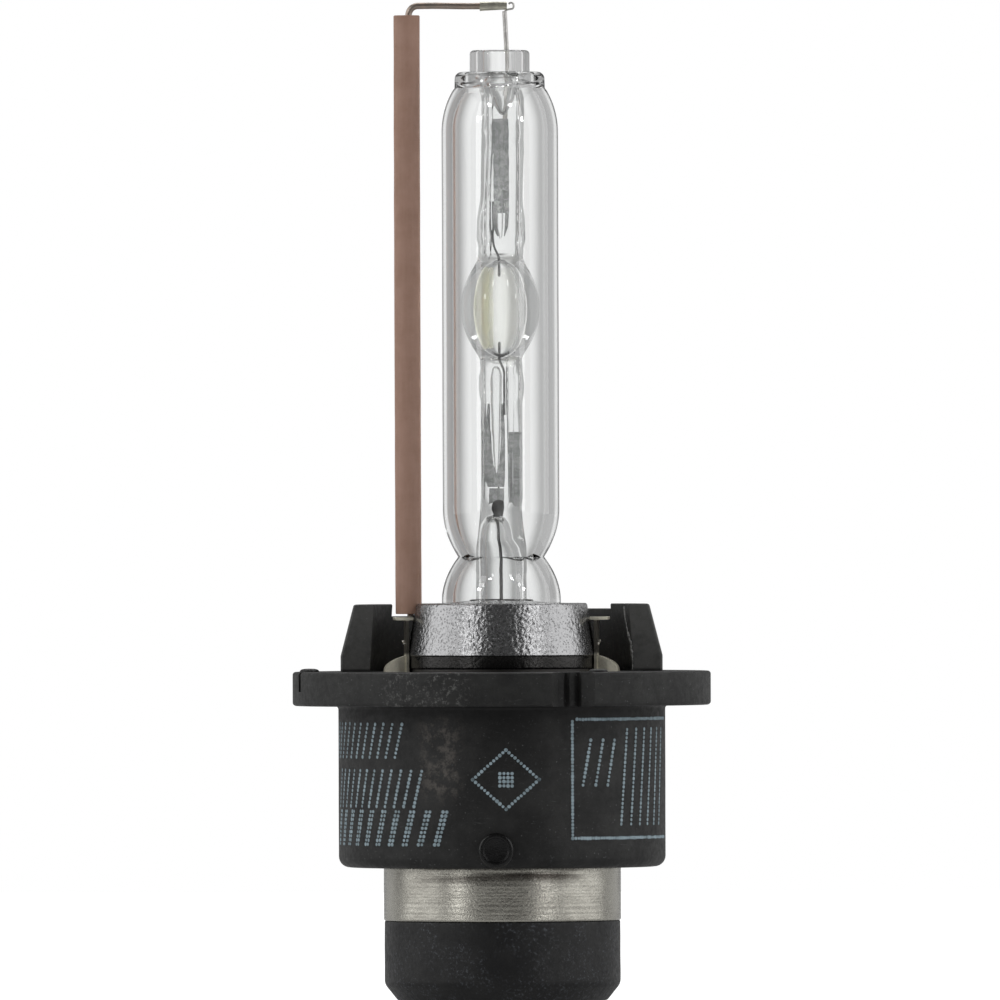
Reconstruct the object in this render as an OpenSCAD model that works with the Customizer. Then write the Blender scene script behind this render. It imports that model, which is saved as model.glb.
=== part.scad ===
// Xenon discharge headlight bulb with a 32 mm flange base.
// Millimetres. +Z runs along the lamp axis towards the glass tip and -Y is the front.
// The origin is on the axis, in the plane of the flange's front face.

/* [Base housing] */
// Diameter of the seating flange
flange_d = 32; // [31.6:0.1:32.4]
// Thickness of the seating flange
flange_t = 2.6; // [2.2:0.1:3]
// Diameter of the body below the flange
body_d = 25; // [24.4:0.1:25.6]
// Depth of the body's underside below the flange's front face
body_depth = 14.95; // [14.5:0.05:15.4]
// Wall thickness of the housing
wall = 1.7; // [1.4:0.1:2]
// Height of the guard wall's two high ends
guard_h = 5.14; // [4.9:0.02:5.6]
// Diameter of the guard wall at its top
guard_top_d = 22.6; // [22:0.1:23.4]
// Diameter of the guard wall at its foot
guard_foot_d = 24.64; // [24:0.02:25]
// Diameter of a bayonet lug
lug_d = 2.66; // [2.4:0.02:2.7]
// How far a bayonet lug stands out of the body
lug_reach = 1.1; // [0.8:0.1:1.4]
// Height of the reference bosses on the flange
boss_h = 0.25; // [0.15:0.05:0.35]

/* [Plug end] */
// Outside diameter of the contact sleeve
sleeve_d = 18.14; // [18.1:0.01:18.3]
// Sheet thickness of the contact sleeve
sleeve_t = 0.6; // [0.4:0.1:0.8]
// Depth of the contact sleeve's lower edge
sleeve_depth = 19.05; // [18.6:0.05:19.4]
// Diameter of the insulating plug below the contact sleeve
plug_d = 18.06; // [17.9:0.02:18.08]
// Depth of the plug's end face
plug_depth = 25.2; // [24.8:0.1:25.6]
// Diameter of the recess in the plug's end
recess_d = 9.4; // [8.8:0.1:10]
// Depth of the recess in the plug's end
recess_h = 5.7; // [5.2:0.1:5.8]
// Diameter of the centre contact
contact_d = 4.4; // [4:0.1:4.8]

/* [Collar and rings] */
// Diameter of the glare collar at its foot
collar_foot_d = 14.38; // [14:0.02:14.4]
// Diameter of the glare collar at its top
collar_top_d = 13.08; // [12.6:0.02:13.4]
// Height of the glare collar's top
collar_h = 5.2; // [5:0.05:5.4]
// Height of the smooth band at the collar's foot
band_h = 1.2; // [1:0.1:1.4]
// Outside diameter of the carrier ring
carrier_d = 18.2; // [17.8:0.1:18.6]
// Sheet thickness of the carrier ring
carrier_t = 0.22; // [0.18:0.01:0.26]

/* [Glass] */
// Outside diameter of the outer bulb
bulb_d = 8.9; // [8.7:0.05:9]
// Wall thickness of the outer bulb
bulb_wall = 1; // [0.9:0.05:1.1]
// Outside diameter of the arc tube's lower leg
stem_d = 3.86; // [3.7:0.02:3.9]
// Outside diameter of the arc tube's open top end
stub_d = 4.6; // [4.4:0.05:4.8]
// Outside diameter of the arc tube's round middle
vessel_d = 6; // [5.8:0.05:6.2]
// Inside diameter of the discharge chamber
chamber_d = 2.8; // [2.6:0.05:3]
// Height of the arc's centre above the flange's front face
light_centre = 27.7; // [27.5:0.05:27.9]
// Distance between the electrode tips
arc_gap = 4.4; // [4:0.1:4.6]

/* [Return conductor] */
// Diameter of the ceramic tube on the return wire
tube_d = 2; // [1.8:0.05:2.1]
// Distance of the ceramic tube from the lamp axis
tube_offset = 7.1; // [6.95:0.05:7.2]
// Height of the ceramic tube's lower end
tube_foot = 4.4; // [4.3:0.05:4.6]
// Height of the ceramic tube's upper end
tube_top = 50.2; // [49.8:0.1:50.2]
// Diameter of the return wire
wire_d = 0.5; // [0.4:0.02:0.5]
// Height of the return wire's bridge over the glass
bridge_z = 50.92; // [50.9:0.01:51]

/* [Hidden] */
$fn = 72;
ROUND = 180;
SMALL = 24;
EPS = 0.01;
SLIP = 0.03;

flange_r = flange_d / 2;
body_r = body_d / 2;
cavity_r = body_r - wall;
edge_r = 0.95;
web_t = 1.9;
seat_r = 5.3;
floor_r = 9.35;
floor_z = -0.3;

guard_top_r = guard_top_d / 2;
guard_foot_r = guard_foot_d / 2;
guard_shoulder = 1.2;
guard_in_top = 9.75;
guard_in_foot = 10.15;
guard_in_bend = 2.2;
guard_root = -0.5;
guard_cut_in = 8;
guard_cut_out = 14;
guard_low_right = 4.75;
guard_low_left = 4.2;
guard_end = 6;
guard_step = 31;
guard_split = 100;
lip_z = 3.65;
lip_t = 0.45;
lip_root = 0.6;
lip_span = 18;

boss_r = 0.75;
boss_ring_r = 14.7;
lug_r = lug_d / 2;
lug_z = -13.52;
lug_dish = 0.12;
lug_rim = 0.35;
lug_angles = [-92, 88];
key_angle = -70;
key_w = 1.9;
key_depth = 1.6;
key_corner = 2.6;
mark_angle = -164.6;
mark_size = 0.6;
mark_drop = 1.5;
boss_angles = [60, 180, 300];

sleeve_r = sleeve_d / 2;
sleeve_in = sleeve_r - sleeve_t;
plug_r = plug_d / 2;
plug_flange_h = 1.95;
plug_chamfer_r = 1.03;
plug_chamfer_h = 1.3;
recess_r = recess_d / 2;
recess_top = recess_h - plug_depth;
contact_r = contact_d / 2;
contact_sunk = 0.3;
contact_head_r = 2.9;
contact_head_z = -16.6;
contact_head_h = 0.9;
boss_tube_r = 5.6;
boss_tube_top = -4;

insulator_r = 3.3;
insulator_in = stem_d / 2 + 0.12;
insulator_foot = -12;
insulator_top = 5.45;
insulator_crown = 2.4;
insulator_bevel = 0.9;

strap_x = -8.27;
strap_w = 1.6;
strap_t = 0.3;
strap_foot = -11.6;
tab_top = -9.9;
slot_play = 0.15;
tab_inset = 0.25;
tab_root = 0.5;

clamp_in = 4.6;
clamp_t = 0.3;
clamp_foot = -1.2;
clamp_top = 4.1;
clamp_gap = 0.8;
tongue_w = 2.2;
tongue_top = 3.2;
washer_r = 7.3;
tongue_angles = [45, 135, 225, 315];
upright_in = 7.25;
upright_top = 4.15;
upright_angle = 13;
upright_lip_in = 6.9;
upright_lip_out = 8.3;
upright_box = [[6, -1], [9, -1], [9, 6], [6, 6]];
ramp_h = 1.25;
ramp_end = 12;
upright_spots = [[-5, 2.3], [-10.5, 2.12]];
spot_r = 0.17;
end_spot_r = 0.2;

collar_foot_r = collar_foot_d / 2;
collar_top_r = collar_top_d / 2;
collar_in = 5.3;
collar_mouth_r = 4.75;
collar_round = 0.18;
band_inset = 0.04;

bulb_r = bulb_d / 2;
bulb_in = bulb_r - bulb_wall;
skirt_r = bulb_r + 0.1;
skirt_in = skirt_r - bulb_wall;
skirt_foot = -3;
skirt_bend = 5.4;
neck_z = 8.8;
neck_r = 3.28;
lower_bend = 12;
upper_bend = 41.2;
bead_z = 44.6;
bead_r = 3.45;
bead_top = 45.85;
bead_corner = 0.55;
bend_lag = 0.4;
seal_low = neck_z - 0.6;
seal_high = neck_z + 1.1;

stem_r = stem_d / 2;
stem_in = 0.9;
stem_foot = -9;
stem_bend = neck_z + 1.2;
pinch_r = 1.5;
pinch_foot = 12.6;
bump_r = 1.75;
bump_z = 22;
bump_span = 1.4;
vessel_r = vessel_d / 2;
vessel_low = 23.8;
vessel_high = 31.7;
chamber_r = chamber_d / 2;
chamber_low = 24.3;
chamber_high = 31.2;
leg_r = 1.6;
leg_top = 44.4;
stub_r = stub_d / 2;
stub_top = 47.5;
stub_corner = 0.3;
stub_in = 1.3;
stub_floor = 43.6;

shank_d = 0.3;
tip_d = 0.36;
tip_h = 0.9;
foil_w = 0.9;
foil_t = 0.08;
foil_turn = 60;
upper_foil = [35, 42.2];
lower_foil = [14.5, 20.5];
foil_lap = 0.9;
lead_d = 0.36;
lead_rise = 0.6;
ball_d = lead_d * 1.1;
lead_bend = [0.58, 0, 45.6];
lead_top = [0.4, 0, 50.58];
loop_r = 0.2;
loop_d = 0.16;
film_t = 0.05;
film_span = 130;
film_margin = 0.9;

wire_r = wire_d / 2;
wire_x = 0.15 - tube_offset;
tube_r = tube_d / 2;
tube_bore_r = 0.45;
bend_r = bridge_z - tube_top;
fold_x = [-1.5, 0.58];
loop_x = fold_x[1] + loop_r + loop_d / 2 + 0.03;
fold_h = 0.64;
fold_w = 0.8;
fold_corner = 0.2;

// ---- shared shapes ----

// Points from [r0, z0], where the wall is vertical, to [r1, z1]; a larger power pinches sooner.
function flare(r0, z0, r1, z1, power, n = 10) =
    [for (i = [0:n]) let (t = 90 * i / n)
        [r1 + (r0 - r1) * pow(cos(t), power), z0 + (z1 - z0) * sin(t)]];

function reversed(points) = [for (i = [len(points) - 1:-1:0]) points[i]];

// Half an ellipse's outline between two heights.
function egg(r, low, high, n = 20) =
    [for (i = [0:n]) let (t = 180 * i / n)
        [r * sin(t), (low + high) / 2 - (high - low) / 2 * cos(t)]];

// The part of that outline that lies outside a neck of the given radius.
function egg_outside(r, low, high, neck) = [for (p = egg(r, low, high)) if (p[0] > neck) p];

module ring(outer, inner, low, high) {
    difference() {
        translate([0, 0, low]) cylinder(r = outer, h = high - low, $fn = ROUND);
        translate([0, 0, low - 1]) cylinder(r = inner, h = high - low + 2, $fn = ROUND);
    }
}

// A round rod between two points in the XZ plane.
module rod(from, to, d) {
    span = to - from;
    translate(from)
        rotate([0, atan2(span[0], span[2]), 0])
            cylinder(d = d, h = norm(span), $fn = SMALL);
}

// A block that reaches outwards from the axis at an angle, centred on its width.
module spoke(angle, inner, outer, width, low, high) {
    rotate([0, 0, angle])
        translate([inner, -width / 2, low])
            cube([outer - inner, width, high - low]);
}

module sector(points, start, span) {
    rotate([0, 0, start]) rotate_extrude(angle = span, $fn = ROUND) polygon(points);
}

// ---- burner ----

// Points of a smooth swelling from radius r to peak and back, over span on each side of middle.
function swelling(r, peak, middle, span, n = 8) =
    [for (i = [1:n - 1]) [r + (peak - r) * sin(180 * i / n), middle - span + 2 * span * i / n]];

arc_outline = concat(
    [[0, stem_foot], [stem_r, stem_foot], [stem_r, stem_bend]],
    reversed(flare(pinch_r, pinch_foot, stem_r, stem_bend + 0.1, 1.6, 6)),
    [[pinch_r, pinch_foot]],
    swelling(pinch_r, bump_r, bump_z, bump_span),
    [[pinch_r, bump_z + bump_span]],
    egg_outside(vessel_r, vessel_low, vessel_high, leg_r),
    [[leg_r, vessel_high], [leg_r, leg_top], [stub_r, bead_top], [stub_r, stub_top - stub_corner],
     [stub_r - stub_corner, stub_top], [0, stub_top]]
);

module arc_tube() {
    color("aliceblue", 0.35)
        difference() {
            rotate_extrude($fn = ROUND) polygon(arc_outline);
            rotate_extrude($fn = ROUND) polygon(egg(chamber_r, chamber_low, chamber_high));
            translate([0, 0, stem_foot - 1])
                cylinder(r = stem_in, h = pinch_foot - stem_foot + 1, $fn = ROUND);
            translate([0, 0, stub_floor])
                cylinder(r = stub_in, h = stub_top - stub_floor + 1, $fn = ROUND);
            seal_parts();
        }
}

// Everything that the arc tube's two seals are melted round.
module seal_parts() {
    electrode_upper();
    electrode_lower();
    foil_upper();
    foil_lower();
    lead_upper();
    lead_lower();
}

module outer_bulb() {
    outside = concat(
        [[skirt_r, skirt_foot], [skirt_r, skirt_bend]],
        flare(skirt_r, skirt_bend, neck_r, neck_z, 2),
        reversed(flare(bulb_r, lower_bend, neck_r, neck_z, 3)),
        flare(bulb_r, upper_bend, bead_r, bead_z, 1.75),
        [for (i = [0:6]) let (t = 90 * i / 6)
            [bead_r - bead_corner * (1 - cos(t)), bead_top - bead_corner * (1 - sin(t))]]
    );
    inside = concat(
        [[stub_r, bead_top], [leg_r, leg_top]],
        reversed(flare(bulb_in, upper_bend + bend_lag, leg_r, leg_top, 1)),
        reversed(flare(stem_r, seal_high, bulb_in, lower_bend + 2 * bend_lag, 1)),
        [[stem_r, seal_high], [stem_r, seal_low]],
        reversed(flare(skirt_in, skirt_bend + bend_lag, stem_r, seal_low, 1)),
        [[skirt_in, skirt_foot]]
    );
    color("lightcyan", 0.35) rotate_extrude($fn = ROUND) polygon(concat(outside, inside));
}

// A tungsten rod that points along +Z, with its tip at the top.
module electrode(length) {
    cylinder(d = shank_d, h = length - tip_h / 2, $fn = SMALL);
    translate([0, 0, length - tip_h]) cylinder(d = tip_d, h = tip_h - tip_d / 2, $fn = SMALL);
    translate([0, 0, length - tip_d / 2]) sphere(d = tip_d, $fn = SMALL);
}

module electrode_upper() {
    tip_z = light_centre + arc_gap / 2;
    color("dimgray")
        translate([0, 0, upper_foil[0] + foil_lap])
            rotate([180, 0, 0]) electrode(upper_foil[0] + foil_lap - tip_z);
}

module electrode_lower() {
    tip_z = light_centre - arc_gap / 2;
    color("dimgray")
        translate([0, 0, lower_foil[1] - foil_lap]) electrode(tip_z - lower_foil[1] + foil_lap);
}

// A thin strip with a round slot at each end, where a wire is welded on.
module foil(range, wire_low, wire_high) {
    difference() {
        translate([-foil_w / 2, -foil_t / 2, range[0]])
            cube([foil_w, foil_t, range[1] - range[0]]);
        translate([0, 0, range[0] - 1]) cylinder(d = wire_low, h = foil_lap + 1, $fn = SMALL);
        translate([0, 0, range[1] - foil_lap]) cylinder(d = wire_high, h = foil_lap + 1, $fn = SMALL);
    }
}

module foil_upper() {
    color("silver") foil(upper_foil, shank_d, lead_d);
}

module foil_lower() {
    color("silver") rotate([0, 0, foil_turn]) foil(lower_foil, lead_d, shank_d);
}

module lead_upper() {
    start = [0, 0, upper_foil[1] - foil_lap];
    knee = [0, 0, upper_foil[1] + lead_rise];
    loop_foot = [loop_x + 0.05, 0, bridge_z - loop_r - 0.01];
    color("gainsboro") {
        rod(start, knee, lead_d);
        translate(knee) sphere(d = ball_d, $fn = SMALL);
        rod(knee, lead_bend, lead_d);
        translate(lead_bend) sphere(d = ball_d, $fn = SMALL);
        rod(lead_bend, lead_top, lead_d);
        rod([lead_top[0], 0, lead_top[2] - loop_d], loop_foot, loop_d * 1.25);
        translate([loop_x, 0, bridge_z])
            rotate([90, 0, 0])
                rotate_extrude($fn = 36) translate([loop_r, 0]) circle(d = loop_d, $fn = SMALL);
    }
}

module lead_lower() {
    foot = contact_head_z + 0.2;
    color("gainsboro")
        translate([0, 0, foot]) cylinder(d = lead_d, h = lower_foil[0] + foil_lap - foot, $fn = SMALL);
}

// Dried fill on one side of the chamber's wall.
module halide_salts() {
    low = chamber_low + film_margin;
    high = chamber_high - film_margin;
    inside = egg(chamber_r, chamber_low, chamber_high);
    wall_points = [for (p = inside) if (p[1] > low && p[1] < high) p];
    film_points = [for (p = wall_points) [p[0] - film_t, p[1]]];
    color("goldenrod")
        sector(concat(wall_points, reversed(film_points)), 180 - film_span / 2, film_span);
}

// ---- return conductor ----

module return_wire() {
    color("tan")
        translate([wire_x, 0, upright_top])
            cylinder(r = wire_r, h = bridge_z - bend_r - upright_top, $fn = SMALL);
}

module return_bridge() {
    color("tan") {
        translate([wire_x + bend_r, 0, bridge_z - bend_r])
            rotate([90, 0, 0]) rotate([0, 0, 90])
                rotate_extrude(angle = 90, $fn = 36) translate([bend_r, 0]) circle(r = wire_r, $fn = SMALL);
        translate([wire_x + bend_r, 0, bridge_z])
            rotate([0, 90, 0]) cylinder(r = wire_r, h = fold_x[1] - wire_x - bend_r, $fn = SMALL);
    }
}

// The strip of sheet folded round the bridge's end and the lead, where the two are welded.
module weld_fold() {
    length = fold_x[1] - fold_x[0];
    corner_y = fold_w / 2 - fold_corner;
    corner_z = fold_h / 2 - fold_corner;
    color("tan")
        difference() {
            translate([fold_x[0], 0, bridge_z])
                rotate([90, 0, 90])
                    linear_extrude(height = length) {
                        square([2 * corner_y, fold_h], center = true);
                        square([fold_w, 2 * corner_z], center = true);
                        for (y = [-corner_y, corner_y], z = [-corner_z, corner_z])
                            translate([y, z]) circle(r = fold_corner, $fn = SMALL);
                    }
            translate([fold_x[0] - 1, 0, bridge_z])
                rotate([0, 90, 0]) cylinder(r = wire_r, h = length + 2, $fn = SMALL);
            lead_upper();
        }
}

module return_insulator() {
    color("rosybrown")
        difference() {
            translate([-tube_offset, 0, tube_foot])
                cylinder(r = tube_r, h = tube_top - tube_foot, $fn = ROUND);
            translate([-tube_offset, 0, tube_foot - 1])
                cylinder(r = tube_bore_r, h = tube_top - tube_foot + 2, $fn = ROUND);
        }
}

// ---- collar and rings ----

module glare_collar() {
    slope = (collar_foot_r - collar_top_r) / (collar_h - band_h);
    outline = concat(
        [[collar_in, carrier_t], [collar_foot_r - band_inset, carrier_t],
         [collar_foot_r - band_inset, band_h], [collar_foot_r, band_h]],
        [for (i = [0:4]) let (t = 90 * i / 4)
            [collar_top_r + slope * collar_round - collar_round * (1 - cos(t)),
             collar_h - collar_round * (1 - sin(t))]],
        [[collar_mouth_r, collar_h], [collar_mouth_r, clamp_top + 0.2], [collar_in, clamp_top - 0.4]]
    );
    color([0.2, 0.2, 0.2]) rotate_extrude($fn = ROUND) polygon(outline);
}

module clamp_ring() {
    color("silver")
        difference() {
            ring(clamp_in + clamp_t, clamp_in, clamp_foot, clamp_top);
            spoke(90, clamp_in - 1, clamp_in + 1, clamp_gap, clamp_foot - 1, clamp_top + 1);
        }
}

module carrier_ring() {
    clamp_out = clamp_in + clamp_t;
    carrier_r = carrier_d / 2;
    color("silver") {
        ring(washer_r, clamp_out, floor_z, carrier_t);
        for (side = [0, 180])
            intersection() {
                union() {
                    ring(upright_in + carrier_t, upright_in, 0, upright_top);
                    ring(upright_lip_out, upright_lip_in, upright_top - carrier_t, upright_top);
                }
                sector(upright_box, side - upright_angle, 2 * upright_angle);
            }
        sector(concat([[upright_in, floor_z], [carrier_r, floor_z]],
                      flare(carrier_r - 0.06, carrier_t / 2, upright_in, ramp_h, 1.6, 6)),
               -ramp_end, 180 + 2 * ramp_end);
        for (angle = tongue_angles)
            intersection() {
                ring(clamp_out + carrier_t, clamp_out, 0, tongue_top);
                spoke(angle, clamp_in, clamp_out + 1, tongue_w, -1, tongue_top + 1);
            }
    }
}

module weld_spots() {
    color("gainsboro") {
        for (side = [-1, 1], spot = upright_spots)
            mirror([side < 0 ? 1 : 0, 0, 0])
                rotate([0, 0, spot[0]])
                    translate([upright_in + carrier_t + spot_r * 0.3, 0, spot[1]])
                        sphere(r = spot_r, $fn = SMALL);
        translate([wire_x, -wire_r - 0.12, upright_top + 0.1]) sphere(r = end_spot_r, $fn = SMALL);
    }
}

// ---- base ----

module guard_wall() {
    top = guard_h + 1;
    lip_top = guard_h - 0.3;
    difference() {
        sector([[guard_in_foot, guard_root], [guard_foot_r, guard_root],
                [guard_foot_r, guard_shoulder], [guard_top_r, guard_h],
                [guard_in_top, guard_h], [guard_in_foot, guard_in_bend]],
               -guard_end, 180 + 2 * guard_end);
        sector([[guard_cut_in, guard_low_right], [guard_cut_out, guard_low_right],
                [guard_cut_out, top], [guard_cut_in, top]],
               guard_step, guard_split - guard_step + 1);
        sector([[guard_cut_in, guard_low_left], [guard_cut_out, guard_low_left],
                [guard_cut_out, top], [guard_cut_in, top]],
               guard_split, 180 - guard_step - guard_split);
    }
    sector([[guard_in_top - lip_t, lip_z], [guard_in_top + lip_root, lip_z],
            [guard_in_top + lip_root, lip_top], [guard_in_top - lip_t, lip_top]],
           182 - guard_step, lip_span);
}

module lug(angle) {
    root = cavity_r + 0.3;
    end = body_r + lug_reach;
    rotate([0, 0, angle])
        translate([0, 0, lug_z])
            rotate([0, 90, 0])
                difference() {
                    translate([0, 0, root]) cylinder(r = lug_r, h = end - root);
                    translate([0, 0, end - lug_dish]) cylinder(r = lug_r - lug_rim, h = 1);
                }
}

module base_housing() {
    body_profile = concat(
        [[0, -flange_t], [0, -body_depth], [body_r - edge_r, -body_depth]],
        [for (i = [1:6]) let (t = 90 * i / 6)
            [body_r - edge_r + edge_r * sin(t), -body_depth + edge_r * (1 - cos(t))]],
        [[body_r, -flange_t]]
    );
    color([0.16, 0.16, 0.16])
        difference() {
            union() {
                translate([0, 0, -flange_t]) cylinder(r = flange_r, h = flange_t, $fn = ROUND);
                rotate_extrude($fn = ROUND) polygon(body_profile);
                guard_wall();
                for (angle = boss_angles)
                    rotate([0, 0, angle])
                        translate([boss_ring_r, 0, -1]) cylinder(r = boss_r, h = boss_h + 1);
                for (angle = lug_angles) lug(angle);
            }
            translate([0, 0, -body_depth - 1])
                cylinder(r = cavity_r, h = body_depth - web_t + 1, $fn = ROUND);
            translate([0, 0, -web_t - 1]) cylinder(r = seat_r, h = web_t + 2, $fn = ROUND);
            translate([0, 0, floor_z]) cylinder(r = floor_r, h = 0.5, $fn = ROUND);
            spoke(key_angle, flange_r - key_depth, flange_r + 1, key_w, -flange_t - 1, 1);
            rotate([0, 0, key_angle])
                translate([flange_r, 0, -flange_t - 1])
                    rotate([0, 0, 45])
                        translate([-key_corner / 2, -key_corner / 2, 0])
                            cube([key_corner, key_corner, flange_t + 2]);
            spoke(mark_angle, flange_r - mark_size, flange_r + 1, mark_size, -mark_drop, 1);
            translate([strap_x - strap_t / 2 - slot_play, -strap_w / 2 - slot_play, -web_t - 1])
                cube([strap_t + 2 * slot_play, strap_w + 2 * slot_play, web_t + 2]);
        }
}

module return_strap() {
    color("silver")
        translate([strap_x - strap_t / 2, -strap_w / 2, strap_foot])
            cube([strap_t, strap_w, floor_z - strap_foot]);
}

module contact_sleeve() {
    color([0.62, 0.6, 0.56]) {
        ring(sleeve_r, sleeve_in, -sleeve_depth, -body_depth);
        intersection() {
            ring(sleeve_r - tab_inset, sleeve_in, -body_depth - tab_root, tab_top);
            spoke(180, sleeve_in - 1, sleeve_r + 1, strap_w, -sleeve_depth, tab_top + 1);
        }
    }
}

module plug_core() {
    color([0.13, 0.13, 0.13])
        difference() {
            union() {
                rotate_extrude($fn = ROUND)
                    polygon([[0, -plug_depth], [plug_r - plug_chamfer_r, -plug_depth],
                             [plug_r, -plug_depth + plug_chamfer_h], [plug_r, -sleeve_depth],
                             [0, -sleeve_depth]]);
                translate([0, 0, -sleeve_depth])
                    cylinder(r = sleeve_in, h = sleeve_depth - body_depth + EPS, $fn = ROUND);
                translate([0, 0, -body_depth]) cylinder(r = cavity_r, h = plug_flange_h, $fn = ROUND);
                translate([0, 0, -body_depth])
                    cylinder(r = boss_tube_r, h = body_depth + boss_tube_top, $fn = ROUND);
            }
            translate([0, 0, -plug_depth - 1]) cylinder(r = recess_r, h = recess_h + 1, $fn = ROUND);
            translate([0, 0, -plug_depth]) cylinder(r = contact_r, h = plug_depth, $fn = ROUND);
            translate([0, 0, contact_head_z]) cylinder(r = insulator_r, h = 20, $fn = ROUND);
            spoke(180, sleeve_in - 0.2, sleeve_r + SLIP, strap_w + 2 * SLIP, -body_depth, tab_top);
        }
}

module centre_contact() {
    foot = recess_top + contact_sunk;
    color([0.72, 0.7, 0.62])
        difference() {
            union() {
                translate([0, 0, foot]) cylinder(r = contact_r, h = contact_head_z - foot, $fn = ROUND);
                translate([0, 0, contact_head_z])
                    cylinder(r = contact_head_r, h = contact_head_h, $fn = ROUND);
            }
            lead_lower();
        }
}

module hv_insulator() {
    color([0.2, 0.18, 0.17])
        rotate_extrude($fn = ROUND)
            polygon([[insulator_in, insulator_foot], [insulator_r, insulator_foot],
                     [insulator_r, insulator_top - insulator_bevel], [insulator_crown, insulator_top],
                     [insulator_in, insulator_top]]);
}

arc_tube();
outer_bulb();
electrode_upper();
electrode_lower();
foil_upper();
foil_lower();
lead_upper();
lead_lower();
halide_salts();
return_wire();
return_bridge();
weld_fold();
return_insulator();
glare_collar();
clamp_ring();
carrier_ring();
weld_spots();
base_housing();
return_strap();
contact_sleeve();
plug_core();
centre_contact();
hv_insulator();
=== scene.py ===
"""Looks of a xenon discharge headlight bulb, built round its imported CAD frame.

Everything is in the frame's own axes: +Z along the lamp, -Y is the front. Outlines are written in
millimetres and turned into metres when a mesh is made.
"""
import random
from math import acos, asin, atan2, copysign, cos, exp, hypot, log, pi, radians, sin, sqrt, tan

import bmesh
import bpy
from mathutils import Matrix, Vector, noise

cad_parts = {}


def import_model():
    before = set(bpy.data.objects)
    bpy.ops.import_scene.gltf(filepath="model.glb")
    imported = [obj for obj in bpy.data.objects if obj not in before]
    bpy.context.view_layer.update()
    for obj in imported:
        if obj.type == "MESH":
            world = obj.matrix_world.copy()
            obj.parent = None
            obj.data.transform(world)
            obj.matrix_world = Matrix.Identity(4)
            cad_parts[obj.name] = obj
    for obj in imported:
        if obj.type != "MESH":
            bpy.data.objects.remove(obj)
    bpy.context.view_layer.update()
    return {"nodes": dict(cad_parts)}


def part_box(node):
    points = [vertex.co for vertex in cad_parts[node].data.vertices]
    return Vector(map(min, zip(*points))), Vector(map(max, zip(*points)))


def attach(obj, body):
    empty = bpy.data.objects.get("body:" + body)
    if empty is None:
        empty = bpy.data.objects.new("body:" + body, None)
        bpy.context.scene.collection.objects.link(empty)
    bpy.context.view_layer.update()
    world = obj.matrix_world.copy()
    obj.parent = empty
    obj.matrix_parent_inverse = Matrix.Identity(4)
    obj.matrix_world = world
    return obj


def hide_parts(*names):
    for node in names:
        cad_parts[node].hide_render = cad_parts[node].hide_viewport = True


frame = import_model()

MM = 0.001
BODY = "root"
TAU = 2 * pi
rng = random.Random(7)


# ---- measures from the frame (mm)

def low(node):
    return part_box(node)[0] / MM


def high(node):
    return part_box(node)[1] / MM


SKIRT_R = high("outer_bulb").x
BULB_R = SKIRT_R - 0.1
BULB_IN = BULB_R - 1.0
SKIRT_FOOT = low("outer_bulb").z
BEAD_TOP = high("outer_bulb").z
STUB_TOP = high("arc_tube").z
STEM_FOOT = low("arc_tube").z
VESSEL_R = high("arc_tube").x
TUBE_X = (low("return_insulator").x + high("return_insulator").x) / 2
TUBE_R = (high("return_insulator").x - low("return_insulator").x) / 2
TUBE_FOOT = low("return_insulator").z
TUBE_TOP = high("return_insulator").z
WIRE_X = (low("return_wire").x + high("return_wire").x) / 2
WIRE_R = (high("return_wire").x - low("return_wire").x) / 2
WIRE_FOOT = low("return_wire").z
BRIDGE_Z = high("return_bridge").z - WIRE_R
BEND_R = BRIDGE_Z - TUBE_TOP
FOLD_LOW, FOLD_HIGH = low("weld_fold"), high("weld_fold")
COLLAR_FOOT_R = high("glare_collar").x
COLLAR_TOP = high("glare_collar").z
COLLAR_FOOT = low("glare_collar").z
FLANGE_R = high("base_housing").x
FLANGE_T = 2.6
BODY_R = 12.5
BODY_FOOT = low("base_housing").z
GUARD_TOP = high("base_housing").z
SLEEVE_R = high("contact_sleeve").x
SLEEVE_FOOT = low("contact_sleeve").z
PLUG_R = 9.03
PLUG_FOOT = low("plug_core").z
NECK_Z = 8.75
LUG_Z = -13.52


# ---- outlines

def rounded(corners, steps):
    """A closed outline from (r, z, fillet) corners."""
    out = []
    for i, (x, y, fillet) in enumerate(corners):
        p = Vector((x, y))
        if fillet <= 0:
            out.append((x, y))
            continue
        before = Vector(corners[i - 1][:2]) - p
        after = Vector(corners[(i + 1) % len(corners)][:2]) - p
        u, v = before.normalized(), after.normalized()
        half = acos(max(-1, min(1, u.dot(v)))) / 2
        cut = min(fillet / tan(half), 0.49 * before.length, 0.49 * after.length)
        radius = cut * tan(half)
        centre = p + (u + v).normalized() * (radius / sin(half))
        a, b = p + u * cut - centre, p + v * cut - centre
        start = atan2(a.y, a.x)
        turn = (atan2(b.y, b.x) - start + pi) % TAU - pi
        for k in range(steps + 1):
            t = start + turn * k / steps
            out.append((centre.x + radius * cos(t), centre.y + radius * sin(t)))
    return out


def evenly(a, b, n):
    """The ends of n equal steps from a to b."""
    return [a + (b - a) * i / n for i in range(n + 1)]


def flare(r0, z0, r1, z1, power, n=24):
    """Points from (r0, z0), where the wall is upright, to (r1, z1)."""
    return [(r1 + (r0 - r1) * cos(t) ** power, z0 + (z1 - z0) * sin(t)) for t in evenly(0, pi / 2, n)]


def straight(r0, z0, r1, z1, n):
    """Points between two ends, both left out."""
    return list(zip(evenly(r0, r1, n), evenly(z0, z1, n)))[1:-1]


def edge(r, z, radius, n):
    """The rounded edge between a wall at r and a top at z."""
    return [(r - radius * (1 - cos(t)), z - radius * (1 - sin(t))) for t in evenly(0, pi / 2, n)]


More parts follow.
